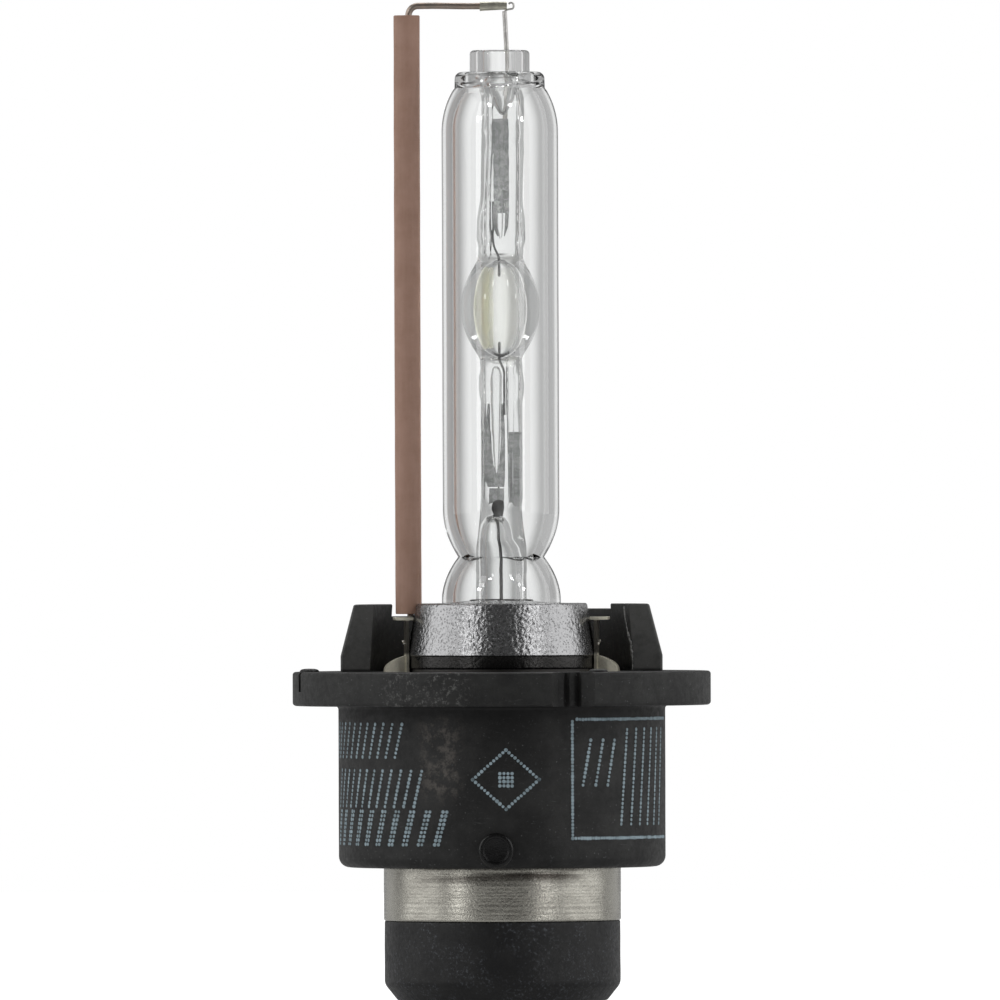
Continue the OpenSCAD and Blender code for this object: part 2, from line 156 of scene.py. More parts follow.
def refined(outline, parts):
    """A closed outline with long stretches split. parts(r0, z0, r1, z1) says into how many."""
    out = []
    for (r0, z0), (r1, z1) in zip(outline, outline[1:] + outline[:1]):
        out.append((r0, z0))
        out += straight(r0, z0, r1, z1, parts(r0, z0, r1, z1))
    return out


def egg(r, z0, z1, n):
    """Half an ellipse's outline from its lower pole to its upper one."""
    return [(r * sin(t), (z0 + z1) / 2 - (z1 - z0) / 2 * cos(t)) for t in evenly(0, pi, n)]


def at(r, z, a):
    """A point at radius r and angle a round the lamp's axis."""
    return r * cos(a), r * sin(a), z


def ruffle(x, y, z):
    """Smooth noise at a point, between about -1 and 1."""
    return noise.noise(Vector((x, y, z)))


def smooth(x, a, b):
    """A soft step from 0 at a to 1 at b."""
    t = max(0.0, min(1.0, (x - a) / (b - a)))
    return t * t * (3 - 2 * t)


# ---- meshes

def revolve(outline, segments, shape=at, closed=True):
    """Turns an outline about Z. Points with r = 0 become poles. shape(r, z, angle) gives (x, y, z)."""
    verts, faces, rings = [], [], []
    for r, z in outline:
        ring = [shape(r, z, TAU * k / segments) for k in range(segments)] if r > 1e-6 else [(0, 0, z)]
        rings.append(range(len(verts), len(verts) + len(ring)))
        verts += ring
    for a, b in zip(rings, rings[1:] + rings[:1] * closed):
        for k in range(segments if len(a) + len(b) > 2 else 0):
            m = (k + 1) % segments
            face = a[k % len(a)], a[m % len(a)], b[m % len(b)], b[k % len(b)]
            faces.append(tuple(dict.fromkeys(face)))
    return verts, faces


def sweep(sections):
    """Joins a list of equal closed sections, each a list of points, and caps both ends."""
    n, last = len(sections[0]), (len(sections) - 1) * len(sections[0])
    faces = [(i + k, i + (k + 1) % n, i + n + (k + 1) % n, i + n + k)
             for i in range(0, last, n) for k in range(n)]
    faces += [tuple(range(n - 1, -1, -1)), tuple(range(last, last + n))]
    return [p for s in sections for p in s], faces


def divided(path, n):
    """The points of a path with each stretch in n parts."""
    return [Vector(a).lerp(Vector(b), i / n) for a, b in zip(path, path[1:]) for i in range(n)]


def tube(path, radius, sides, wobble):
    """A round rod along a path, with one radius or a list of them."""
    points = [Vector(p) for p in path]
    radii = radius if isinstance(radius, list) else [radius] * len(points)
    sections = []
    for i, p in enumerate(points):
        t = (points[min(i + 1, len(points) - 1)] - points[max(i - 1, 0)]).normalized()
        side = Vector((0, 1, 0)).cross(t).normalized()
        ring = [side * cos(TAU * k / sides) + t.cross(side) * sin(TAU * k / sides) for k in range(sides)]
        sections.append([tuple(p + d * (radii[i] * (1 + wobble * noise.noise((p + d * radii[i]) * 3))))
                         for d in ring])
    return sweep(sections)


def both(*meshes):
    """Several meshes as one."""
    verts, faces = [], []
    for v, f in meshes:
        base = len(verts)
        verts += v
        faces += [tuple(base + i for i in face) for face in f]
    return verts, faces


def flipped(mesh):
    return mesh[0], [tuple(reversed(f)) for f in mesh[1]]


def moved(mesh, matrix):
    return [tuple(matrix @ Vector(v)) for v in mesh[0]], mesh[1]


def build(name, mesh, scale=MM):
    data = bpy.data.meshes.new(name)
    data.from_pydata([tuple(c * scale for c in v) for v in mesh[0]], [], mesh[1])
    data.validate()
    obj = bpy.data.objects.new(name, data)
    bpy.context.scene.collection.objects.link(obj)
    return obj


def outward(obj):
    """Turns all faces outwards."""
    bm = bmesh.new()
    bm.from_mesh(obj.data)
    bmesh.ops.recalc_face_normals(bm, faces=bm.faces)
    bm.to_mesh(obj.data)
    bm.free()
    return obj


def combine(obj, other, how):
    """Adds or cuts another closed mesh, and removes it."""
    mod = obj.modifiers.new("combine", "BOOLEAN")
    mod.operation = how
    mod.solver = "MANIFOLD"
    mod.object = other
    bpy.context.view_layer.update()
    made = bpy.data.meshes.new_from_object(obj.evaluated_get(bpy.context.evaluated_depsgraph_get()))
    obj.modifiers.clear()
    old = obj.data
    obj.data = made
    bpy.data.meshes.remove(old)
    bpy.data.objects.remove(other)


def wear(obj, look):
    obj.data.materials.clear()
    obj.data.materials.append(LOOKS[look])


def piece(obj, look, *nodes, angle=32, slot=None):
    """Shades a finished mesh and ties it to the frame. The slot argument is not used."""
    slot = slot or look
    wear(obj, look)
    obj.data.polygons.foreach_set("use_smooth", [True] * len(obj.data.polygons))
    obj.data.set_sharp_from_angle(angle=radians(angle))
    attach(obj, BODY)
    if nodes:
        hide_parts(*nodes)
    return obj


# ---- materials

class Nodes:
    """Adds nodes to a tree. An input is another node's socket or a constant."""

    def __init__(self, tree):
        self.tree = tree
        tree.nodes.clear()

    def add(self, kind, **settings):
        node = self.tree.nodes.new("ShaderNode" + kind)
        for key, value in settings.items():
            setattr(node, key, value)
        return node

    def feed(self, socket, value):
        if isinstance(value, bpy.types.NodeSocket):
            self.tree.links.new(value, socket)
        else:
            socket.default_value = value

    def range(self, value, a, b, to_a=0.0, to_b=1.0):
        n = self.add("MapRange", interpolation_type="SMOOTHSTEP")
        for socket, number in zip(n.inputs, (value, a, b, to_a, to_b)):
            self.feed(socket, number)
        return n.outputs[0]

    def math(self, how, *values):
        n = self.add("Math", operation=how)
        for socket, value in zip(n.inputs, values):
            self.feed(socket, value)
        return n.outputs[0]

    def product(self, first, *others):
        return self.math("MULTIPLY", first, self.product(*others)) if others else first


LOOKS = {}


class Look(Nodes):
    """A node material kept in LOOKS, whose coordinates are the piece's own, in millimetres."""

    def __init__(self, name, **settings):
        LOOKS[name] = bpy.data.materials.new(name)
        LOOKS[name].use_nodes = True
        super().__init__(LOOKS[name].node_tree)
        self.shader = self.add("BsdfPrincipled")
        self.feed(self.add("OutputMaterial").inputs["Surface"], self.shader.outputs[0])
        self.mm = self.stretch((1 / MM, 1 / MM, 1 / MM), vector=self.add("TexCoord").outputs["Object"])
        split = self.add("SeparateXYZ")
        self.feed(split.inputs[0], self.mm)
        self.x, self.y, self.z = split.outputs
        for key, value in settings.items():
            self.set(key.replace("_", " "), value)

    def set(self, name, value):
        self.feed(next(s for s in self.shader.inputs if s.name.lower() == name.lower()), value)

    def stretch(self, scale, turn=(0, 0, 0), vector=None):
        n = self.add("Mapping")
        self.feed(n.inputs["Vector"], vector or self.mm)
        n.inputs["Scale"].default_value = scale
        n.inputs["Rotation"].default_value = turn
        return n.outputs[0]

    def noise(self, scale, detail, rough, warp=0, vector=None):
        n = self.add("TexNoise")
        self.feed(n.inputs["Vector"], vector or self.mm)
        for key, number in (("Scale", scale), ("Detail", detail), ("Roughness", rough), ("Distortion", warp)):
            n.inputs[key].default_value = number
        return n.outputs["Fac"]

    def cells(self, scale):
        n = self.add("TexVoronoi")
        self.feed(n.inputs["Vector"], self.mm)
        n.inputs["Scale"].default_value = scale
        return n.outputs["Distance"]

    def patches(self, size, low=0.35, high=0.7, to_low=0.0, to_high=1.0):
        """Soft patches of noise. size is what noise() takes."""
        return self.range(self.noise(*size), low, high, to_low, to_high)

    def radius(self):
        """Distance from the lamp axis, in millimetres."""
        n = self.add("VectorMath", operation="LENGTH")
        self.feed(n.inputs[0], self.stretch((1, 1, 0)))
        return n.outputs["Value"]

    def mix(self, factor, a, b):
        n = self.add("Mix", data_type="RGBA")
        self.feed(n.inputs["Factor"], factor)
        for socket, value in ((n.inputs[6], a), (n.inputs[7], b)):
            self.feed(socket, value if isinstance(value, bpy.types.NodeSocket) else (*value, 1))
        return n.outputs[2]

    def two_tone(self, size, first, second, low=0.35, high=0.7):
        self.base = self.mix(self.patches(size, low, high), first, second)

    def cover(self, colour, *masks):
        """Lays a colour over the base where all the masks are high."""
        self.base = self.mix(self.product(*masks), self.base, colour)

    def finish(self, size, low, high, *reliefs, gloss=0.0):
        """Sets the base as colour, patchy roughness less any gloss, and relief."""
        self.set("base color", self.base)
        rough = self.patches(size, 0.3, 0.7, low, high)
        self.set("roughness", self.math("SUBTRACT", rough, gloss))
        self.relief(*reliefs)

    def relief(self, *reliefs):
        """Lays bumps one on another, each a (height, depth in mm, strength)."""
        under = None
        for height, depth, strength in reliefs:
            n = self.add("Bump")
            n.inputs["Strength"].default_value = strength
            n.inputs["Distance"].default_value = depth * MM
            self.feed(n.inputs["Height"], height)
            if under is not None:
                self.feed(n.inputs["Normal"], under)
            under = n.outputs[0]
        self.set("normal", under)


def moulded_black():
    k = Look("moulded_black", Specular_IOR_Level=0.3)
    x, y, z = k.x, k.y, k.z
    k.two_tone((0.35, 5, 0.6), (0.0065, 0.0065, 0.0065), (0.018, 0.018, 0.0175))
    # worn flange rim with painted light on it, and painted light on the guard wall and on the guard's cut
    # ends
    k.cover((0.028, 0.0285, 0.027), k.range(k.radius(), 12.8, 15.6), k.range(z, -2.75, -2.4),
            k.patches((0.5, 5, 0.7), 0.35, 0.65), 0.45)
    above = k.range(z, 0.1, 0.3)
    k.cover((0.016, 0.016, 0.0155), above, 0.5)
    k.cover((0.085, 0.085, 0.082), above, k.range(y, -0.95, -1.02),
            k.patches((1.2, 5, 0.7), 0.2, 0.6, 0.5, 1), 0.9)
    # scuffs, a brownish smear and dust on the front, specks and chips
    scrape = k.stretch((0.5, 0.5, 3.5), (0.25, 0.1, 0))
    k.cover((0.085, 0.087, 0.088), k.patches((1.3, 6, 0.75, 0.6, scrape), 0.6, 0.74), 0.45)
    k.cover((0.125, 0.112, 0.1), k.patches((1.1, 6, 0.75, 0.1), 0.45, 0.62), k.range(x, -7, -5),
            k.range(x, -2.5, -4.2), k.range(z, -2.9, -3.4), k.range(z, -10.5, -8.5), k.range(y, 0, -2), 0.62)
    k.cover((0.14, 0.14, 0.135), k.patches((2.6, 6, 0.8), 0.52, 0.64), k.range(x, -9.5, -8),
            k.range(x, -1.5, -4), k.range(z, -2.9, -2.6), k.range(y, -6, -12), 0.75)
    k.cover((0.10, 0.105, 0.11), k.patches((5.5, 4, 0.75), 0.6, 0.72),
            k.patches((0.5, 3, 0.6), 0.35, 0.65, 0.25, 1), 0.6)
    k.cover((0.16, 0.165, 0.165), k.range(k.cells(2.4), 0.15, 0.06), k.patches((0.6, 3, 0.6), 0.45, 0.6), 0.5)
    lug_face = k.product(k.range(k.radius(), 12.62, 12.7), k.range(z, -11.6, -12.0))
    k.cover((0.006, 0.006, 0.006), lug_face)
    # the shaded band just under the flange
    k.cover((0.004, 0.004, 0.004), k.range(k.radius(), 12.75, 12.6), k.range(z, -4.1, -3.1),
            k.range(z, -2.4, -2.5), 0.9)
    k.finish((2.2, 5, 0.65), 0.45, 0.62, (k.noise(9, 4, 0.7), 0.014, 0.8),
             (k.noise(2.0, 5, 0.65), 0.05, 0.4), gloss=k.product(lug_face, 0.32))


def textured_black():
    k = Look("textured_black", Specular_IOR_Level=0.5, Metallic=0.92)
    k.two_tone((0.8, 4, 0.6), (0.12, 0.12, 0.121), (0.21, 0.21, 0.212), 0.3)
    k.cover((0.36, 0.36, 0.365), k.range(k.cells(4.6), 0.15, 0.45))
    k.cover((0.035, 0.034, 0.033), k.range(k.z, 1.26, 1.18))
    k.finish((6, 4, 0.6), 0.16, 0.3, (k.noise(3.2, 4, 0.6, 0.3), 0.04, 0.8), (k.noise(8, 3, 0.6), 0.012, 0.6))


def plug_black():
    k = Look("plug_black", Specular_IOR_Level=0.3)
    k.two_tone((0.5, 5, 0.6), (0.006, 0.006, 0.0065), (0.012, 0.012, 0.012))
    k.cover((0.085, 0.092, 0.105), k.patches((4.2, 5, 0.75), 0.52, 0.68),
            k.patches((0.4, 3, 0.6), 0.4, 0.6), 0.8)
    k.finish((3, 5, 0.65), 0.38, 0.58, (k.noise(9, 3, 0.6), 0.02, 0.7), (k.noise(1.4, 3, 0.5), 0.05, 0.25))


def satin_nickel():
    k = Look("satin_nickel", Metallic=1.0)
    k.two_tone((0.4, 5, 0.65, 0.5), (0.44, 0.427, 0.38), (0.35, 0.337, 0.30))
    # a brownish stain with painted shade and a painted reflection of the body's underside, on the front of
    # the sleeve's top band
    k.cover((0.06, 0.052, 0.045), k.range(k.z, -16.5, -15.4), k.range(k.y, -5.5, -8.2),
            k.patches((1.0, 3, 0.6, 0, k.stretch((0.06, 0.06, 3.2))), 0.3, 0.6))
    k.cover((0.75, 0.74, 0.70), k.patches((6, 4, 0.7), 0.58, 0.7), 0.4)
    rings = k.noise(1.0, 4, 0.7, 0, k.stretch((0.04, 0.04, 5)))
    k.finish((4, 5, 0.7), 0.2, 0.3, (rings, 0.003, 0.3), (k.noise(4.5, 4, 0.65), 0.022, 0.8))


def spring_steel():
    k = Look("spring_steel", Metallic=0.55)
    k.two_tone((0.9, 5, 0.65), (0.86, 0.82, 0.68), (0.619, 0.590, 0.490))
    k.cover((0.22, 0.17, 0.11), k.patches((2.2, 4, 0.7, 0.8), 0.6, 0.75), 0.5)
    # painted shade on the uprights, and painted shade under the collar
    k.cover((0.05, 0.045, 0.04), k.range(k.z, 1.2, 1.5), k.range(k.z, 3.95, 3.85), 0.9)
    k.cover((0.03, 0.028, 0.026), k.range(k.radius(), 7.15, 7.05), k.range(k.z, 0.4, 0.25))
    k.finish((6, 4, 0.65), 0.35, 0.55, (k.noise(6, 3, 0.5, 0, k.stretch((1, 1, 5))), 0.01, 0.6))


def drawn_nickel(name, light, dark):
    k = Look(name, Metallic=0.85)
    k.two_tone((1.3, 5, 0.6), light, dark)
    drawn = (3, 4, 0.6, 0, k.stretch((0.25, 6, 6)))
    k.finish(drawn, 0.3, 0.48, (k.noise(*drawn), 0.01, 0.5))


def molybdenum():
    k = Look("molybdenum", Metallic=0.75)
    k.two_tone((1.6, 5, 0.7, 0.8), (0.33, 0.335, 0.33), (0.19, 0.194, 0.194), 0.38, 0.62)
    k.cover((0.085, 0.087, 0.087), k.patches((1.0, 4, 0.6, 0.3, k.stretch((5, 5, 0.35))), 0.5, 0.68), 0.55)
    # torn, shiny patches near the upper foil's foot
    k.cover((0.62, 0.63, 0.62), k.range(k.z, 38.8, 36.2), k.range(k.z, 34.8, 35.2),
            k.patches((3.0, 5, 0.75, 1.2), 0.48, 0.6), 0.75)
    k.finish((5, 4, 0.6), 0.45, 0.65, (k.noise(2.0, 4, 0.55, 0.6), 0.06, 0.7))


def brown_ceramic():
    k = Look("brown_ceramic", Specular_IOR_Level=0.35)
    k.two_tone((0.55, 5, 0.6), (0.34, 0.203, 0.148), (0.39, 0.24, 0.182), 0.3)
    k.cover((0.46, 0.33, 0.27), k.patches((6, 4, 0.7), 0.6, 0.75), 0.35)
    k.cover((0.2, 0.11, 0.078), k.patches((3.2, 5, 0.7, 0.4), 0.62, 0.78), 0.35)
    k.cover((0.45, 0.3, 0.235), k.patches((2.4, 4, 0.6, 0, k.stretch((2, 2, 0.12))), 0.42, 0.7), 0.18)
    k.finish((4, 4, 0.6), 0.55, 0.75, (k.noise(11, 4, 0.65), 0.014, 0.7), (k.noise(2.5, 3, 0.5), 0.02, 0.4))


def quartz(name, tint):
    k = Look(name, Transmission_Weight=1.0, IOR=1.458)
    k.two_tone((0.25, 4, 0.6, 0.4), tint, tuple(c * 0.985 for c in tint), 0.35, 0.75)
    k.set("base color", k.base)
    k.set("roughness", k.patches((0.7, 4, 0.6), 0.55, 0.8, 0.0, 0.012))
    k.relief((k.noise(0.5, 3, 0.5, 0.2, k.stretch((1, 1, 0.3))), 0.02, 0.3))


def fill_salts():
    k = Look("fill_salts", Transmission_Weight=0.97, IOR=1.14, Specular_IOR_Level=0.2)
    k.two_tone((1.1, 5, 0.65, 0.4), (0.975, 0.965, 0.80), (0.98, 0.972, 0.86), 0.35, 0.65)
    # yellow on the left only
    edge = k.math("ADD", k.x, k.patches((0.8, 5, 0.65, 0.4), 0.3, 0.7, -0.08, 0.08))
    clear = k.range(edge, -0.76, -0.6)
    k.cover((0.99, 0.988, 0.975), clear)
    k.set("base color", k.base)
    haze = k.patches((3, 4, 0.6), 0.3, 0.7, 0.1, 0.2)
    k.set("roughness", k.math("ADD", haze, k.range(clear, 0, 1, 0.2, -0.06)))
    k.relief((k.noise(7, 4, 0.65), 0.01, 0.5))


def plain(name, first, second, patch, rough, relief, span=(0.35, 0.7), stretch=(1, 1, 1), **settings):
    """Two colours in patches. rough and relief give a noise size, then its roughness or its depth."""
    k = Look(name, **settings)
    k.two_tone(patch, first, second, *span)
    size, depth, strength = relief
    k.finish(*rough, (k.noise(*size, 0, k.stretch(stretch)), depth, strength))


for make in (moulded_black, textured_black, plug_black, satin_nickel, spring_steel, molybdenum, brown_ceramic,
             fill_salts):
    make()
quartz("quartz", (0.975, 0.98, 0.978))
quartz("quartz_outer", (0.965, 0.97, 0.968))
drawn_nickel("return_nickel", (0.42, 0.335, 0.28), (0.33, 0.285, 0.25))
drawn_nickel("fold_nickel", (0.62, 0.6, 0.5), (0.4, 0.385, 0.33))
plain("lead_wire", (0.62, 0.61, 0.59), (0.45, 0.44, 0.43), (2, 4, 0.6), ((8, 4, 0.6), 0.4, 0.6),
      ((7, 3, 0.5), 0.008, 0.6), stretch=(4, 4, 0.4), Metallic=1.0)
plain("dark_lead", (0.03, 0.029, 0.028), (0.012, 0.012, 0.012), (3, 4, 0.7), ((9, 3, 0.6), 0.4, 0.65),
      ((10, 3, 0.6), 0.015, 0.7), Specular_IOR_Level=0.08)
plain("tungsten", (0.16, 0.16, 0.16), (0.08, 0.08, 0.08), (3, 4, 0.7), ((9, 3, 0.6), 0.35, 0.6),
      ((12, 3, 0.6), 0.012, 0.7), Metallic=1.0)
plain("weld_metal", (0.8, 0.78, 0.74), (0.45, 0.42, 0.36), (6, 4, 0.7), ((9, 3, 0.6), 0.15, 0.35),
      ((10, 2, 0.6), 0.02, 0.6), Metallic=1.0)
plain("inner_insulator", (0.014, 0.013, 0.012), (0.035, 0.032, 0.03), (1.2, 5, 0.65),
      ((5, 4, 0.6), 0.5, 0.75), ((5, 4, 0.65), 0.05, 0.8), span=(0.3, 0.7), Specular_IOR_Level=0.4)
plain("contact_metal", (0.68, 0.6, 0.4), (0.5, 0.43, 0.28), (1.5, 5, 0.65), ((6, 4, 0.6), 0.25, 0.45),
      ((4, 4, 0.6), 0.01, 0.5), Metallic=1.0)
plain("marking_ink", (0.33, 0.42, 0.47), (0.19, 0.245, 0.27), (1.7, 5, 0.7), ((5, 3, 0.6), 0.6, 0.8),
      ((15, 3, 0.6), 0.006, 0.6), Specular_IOR_Level=0.3)
# the burr's rough black plastic, lightened to grey as a painted glint
plain("burr_painted_glint", (0.04, 0.04, 0.038), (0.24, 0.24, 0.235), (5, 5, 0.7), ((8, 4, 0.6), 0.25, 0.5),
      ((9, 4, 0.7), 0.05, 0.9), span=(0.35, 0.65), Specular_IOR_Level=0.6)


# ---- glass

SEAL = 0.07
CHAMBER_R, CHAMBER_FOOT, CHAMBER_TOP, VESSEL_Z = 1.4, 24.3, 31.2, 27.75
PINCH_R, LEG_R, STEM_R, STUB_R, BEAD_R = 1.58, 1.7, 1.93, 2.3, 3.45


def outer_bulb():
    neck_r, skirt_in = 3.28, SKIRT_R - 1.0
    outside = [(SKIRT_R, SKIRT_FOOT)] + straight(SKIRT_R, SKIRT_FOOT, SKIRT_R, 5.4, 12)
    outside += flare(SKIRT_R, 5.4, neck_r, NECK_Z, 2)
    outside += list(reversed(flare(BULB_R, 12.4, neck_r, NECK_Z, 2)))[1:]
    outside += straight(BULB_R, 12.4, BULB_R, 41.2, 60)
    outside += flare(BULB_R, 41.2, BEAD_R, 44.6, 1.75) + edge(BEAD_R, BEAD_TOP, 0.55, 10)
    inside = [(STUB_R - SEAL, BEAD_TOP - 0.05), (LEG_R - SEAL, 45.0), (2.1, 44.85)]
    inside += list(reversed(flare(BULB_IN, 41.4, 2.35, 44.6, 1.75)))
    inside += straight(BULB_IN, 41.4, BULB_IN, 12.8, 60)
    inside += flare(BULB_IN, 12.8, neck_r - 0.9, NECK_Z + 0.13, 2)
    inside += [(STEM_R - SEAL, NECK_Z + 0.08), (STEM_R - SEAL, NECK_Z - 0.08)]
    inside += list(reversed(flare(skirt_in, 5.6, neck_r - 0.9, NECK_Z - 0.13, 2)))
    inside += straight(skirt_in, 5.6, skirt_in, SKIRT_FOOT, 12) + [(skirt_in, SKIRT_FOOT)]

    def shape(r, z, a):
        wave = 0.012 * ruffle(cos(a) * 0.6, sin(a) * 0.6, z * 0.12)
        if z > 44.3:
            wave += 0.03 * ruffle(cos(a) * 1.6, sin(a) * 1.6, z * 0.8)
        if 7.6 < z < 10.2:
            wave += 0.02 * ruffle(cos(a) * 2.2, sin(a) * 2.2, z * 0.9)
        return at(r + wave * smooth(r, 2.5, 3.2), z, a)

    return revolve(outside + inside, 192, shape)


GROOVES = {
    "lower": ((-1.3, 0.05, 0.08), (0.5, 0.05, 0.10), (0.92, 0.05, 0.05), (1.4, 0.05, 0.08)),
    "upper": ((-1.15, 0.06, 0.09), (-0.85, 0.07, 0.10), (1.16, 0.08, 0.12), (1.5, 0.04, 0.06)),
}


def pressed(r, angle, z, amount, leg):
    """A point on a leg squeezed to a rounded block with soft lengthwise grooves in its front and back."""
    c, s = cos(angle), sin(angle)
    power = 2 + 2.4 * amount
    depth = r * (1 - 0.2 * amount)
    k = (abs(c / r) ** power + abs(s / depth) ** power) ** (-1 / power)
    k *= 1 + amount * 0.012 * ruffle(c, s, z * 0.45)
    x, y = k * c, k * s
    dip = 0.0
    for i, (x0, width, deep) in enumerate(GROOVES[leg]):
        wander = 0.05 * sin(z * (0.35 + 0.07 * i) + 1.7 * i)
        dip += deep * exp(-((x - x0 - wander) / width) ** 2)
    return x, y - copysign(dip * amount * (1.0 if s < 0 else 0.4), s) * smooth(abs(s), 0.2, 0.5)


def leg_swell(z):
    """How strongly the pinched legs are faceted at a height."""
    lower = smooth(z, 12.4, 13.4) * (1 - smooth(z, 23.2, 24.2))
    upper = smooth(z, 31.2, 32.2) * (1 - smooth(z, 43.7, 44.6))
    return lower, upper


def vessel():
    """The round middle, run smoothly into the legs at both ends."""
    points = []
    for z in evenly(23.1, 32.3, 88):
        t = (z - VESSEL_Z) / 3.95
        bulge = VESSEL_R * sqrt(max(0, 1 - t * t))
        leg = PINCH_R if z < VESSEL_Z else LEG_R
        gap = (bulge - leg) / 0.42
        points.append((leg + 0.42 * log(1 + exp(max(-30, min(30, gap)))), z))
    return [(min(r, VESSEL_R), z) for r, z in points]


def arc_tube():
    outline = [(1.2, STEM_FOOT), (STEM_R, STEM_FOOT)] + straight(STEM_R, STEM_FOOT, STEM_R, 9.4, 16)
    outline += list(reversed(flare(PINCH_R, 12.9, STEM_R, 9.4, 3)))
    outline += straight(PINCH_R, 12.9, PINCH_R, 20.6, 24)
    outline += [(PINCH_R + 0.14 * sin(pi * i / 16), 20.6 + 2.4 * i / 16) for i in range(17)] + vessel()
    outline += [(LEG_R + 0.12 * smooth(z, 32.3, 33.2) - 0.22 * smooth(z, 34.0, 36.5), z)
                for z in evenly(32.3, 44.4, 64)[1:]]
    outline += [(1.85, 44.9), (2.15, 45.4), (STUB_R, BEAD_TOP)]
    outline += straight(STUB_R, BEAD_TOP, STUB_R, STUB_TOP - 0.3, 6) + edge(STUB_R, STUB_TOP, 0.3, 8)
    outline += [(1.36, STUB_TOP), (1.3, STUB_TOP - 0.06)] + straight(1.3, STUB_TOP - 0.06, 1.28, 46.1, 8)
    outline += [(1.27, 45.7), (1.24, 45.2), (1.16, 44.7), (1.02, 44.2), (0.84, 43.7), (0.64, 43.25),
                (0.44, 42.85), (0.24, 42.58), (0.08, 42.5), (0, 42.49)]
    outline += [(0, 11.95), (0.35, 11.9), (0.68, 11.7), (0.94, 11.32), (1.1, 10.8), (1.18, 10.2), (1.2, 9.6)]
    outline += straight(1.2, 9.6, 1.2, STEM_FOOT, 14)

    def shape(r, z, a):
        lower, upper = leg_swell(z)
        sway = 0.06 * lower + (0.06 + 0.16 * smooth(z, 34.0, 41.0)) * upper
        if r > 1.25 and lower + upper > 0:
            x, y = pressed(r, a, z, max(lower, upper), "lower" if z < VESSEL_Z else "upper")
            drips = sum(smooth(z, z0, z0 + 0.8) * (1 - smooth(z, z1 - 0.6, z1))
                        for z0, z1 in ((21.8, 24.2), (31.9, 34.0), (39.0, 44.5)))
            swell = 1 + 0.045 * drips * ruffle(x * 1.5, y * 1.5, z * 1.2)
            return x * swell + sway, y * swell, z
        if z > BEAD_TOP - 0.2 and r > 1.4:
            facets = 0.005 * cos(22 * a) + 0.012 * cos(5 * a + 1) - 0.02
            r += smooth(z, BEAD_TOP - 0.2, BEAD_TOP + 0.2) * facets
        if r < 1.25 and z < 13:
            lean = smooth(z, 9.0, 10.3)
            return r * cos(a) * (1 - 0.2 * lean) - 0.33 * lean, r * sin(a), z
        return r * cos(a) + sway, r * sin(a), z

    tube_mesh = revolve(outline, 288, shape)
    chamber = flipped(revolve(egg(CHAMBER_R, CHAMBER_FOOT, CHAMBER_TOP, 64), 128, closed=False))
    window = bubble([(14.75, 0.03), (15.6, 0.14), (17.0, 0.24), (19.0, 0.34), (21.0, 0.41), (22.3, 0.42),
                     (23.0, 0.32), (23.35, 0.12)], -0.33, -0.4, 0.8)
    notch = bubble([(33.1, 0.06), (33.4, 0.15), (34.0, 0.24), (34.9, 0.27), (35.3, 0.25)], -0.02, -0.4, 0.8)
    return both(tube_mesh, chamber, flipped(window), flipped(notch))


def bubble(levels, x, y, flat):
    """A closed void drawn through (height, half width) levels."""
    rings = []
    for z in evenly(levels[0][0], levels[-1][0], 36):
        for (z0, w0), (z1, w1) in zip(levels, levels[1:]):
            if z0 <= z <= z1 + 1e-9:
                w = w0 + (w1 - w0) * smooth(z, z0, z1)
        rings.append([])
        for a in evenly(0, TAU, 48)[:-1]:
            m = w * (cos(a) ** 4 + sin(a) ** 4) ** -0.25
            rings[-1].append((x + m * cos(a), y + m * flat * sin(a), z))
    return sweep(rings)


for glass in (
        piece(build("outer_bulb_glass", outer_bulb()), "quartz_outer", "outer_bulb", angle=50),
        piece(build("arc_tube_glass", arc_tube()), "quartz", "arc_tube", angle=50)):
    glass.visible_shadow = False


# ---- inside the glass

def foil(z0, z1, width, thickness, turn, x, bend):
    """A thin strip with feathered, slightly uneven edges."""
    sections, count = [], 60
    rim = [(u, -1) for u in (-1, -0.8, -0.4, 0, 0.4, 0.8, 1)] + [(u, 1) for u in (0.8, 0.4, 0, -0.4, -0.8)]
    for i, z in enumerate(evenly(z0, z1, count)):
        end = min(1, 0.93 + 4.0 * min(i, count - i) / count)
        half = width / 2 * end * (1 + 0.09 * ruffle(3.1, 0.4, z * 1.1))
        curl = bend * sin(pi * i / count)
        sections.append([(u * half, side * thickness / 2 * sqrt(max(0.03, 1 - u * u)) + curl * (1 - u * u), z)
                         for u, side in rim])
    turned = Matrix.Translation((x, 0, 0)) @ Matrix.Rotation(radians(turn), 4, "Z")
    return moved(sweep(sections), turned)


def prong(path, halves, thickness=0.08, y=0.12):
    """A flat tapering strip in the XZ plane through (x, z) points."""
    rim = ((-1, 0), (-0.5, -0.5), (0.5, -0.5), (1, 0), (0.5, 0.5), (-0.5, 0.5))
    return sweep([[(x + u * half, y + v * thickness, z) for u, v in rim]
                  for (x, z), half in zip(path, halves)])


upper_foil = foil(low("foil_upper").z, high("foil_upper").z, 1.15, 0.08, 2, 0.1, 0.05)
fork = [prong([(x0, 35.7), (x1, 34.6), (x2, 33.9), (x3, 33.3)], [0.13, 0.14, 0.12, 0.05], y=0)
        for x0, x1, x2, x3 in ((0.52, 0.5, 0.46, 0.3), (-0.38, -0.4, -0.34, -0.2))]
piece(build("upper_foil_strip", both(upper_foil, *fork)), "molybdenum", "foil_upper", angle=60)

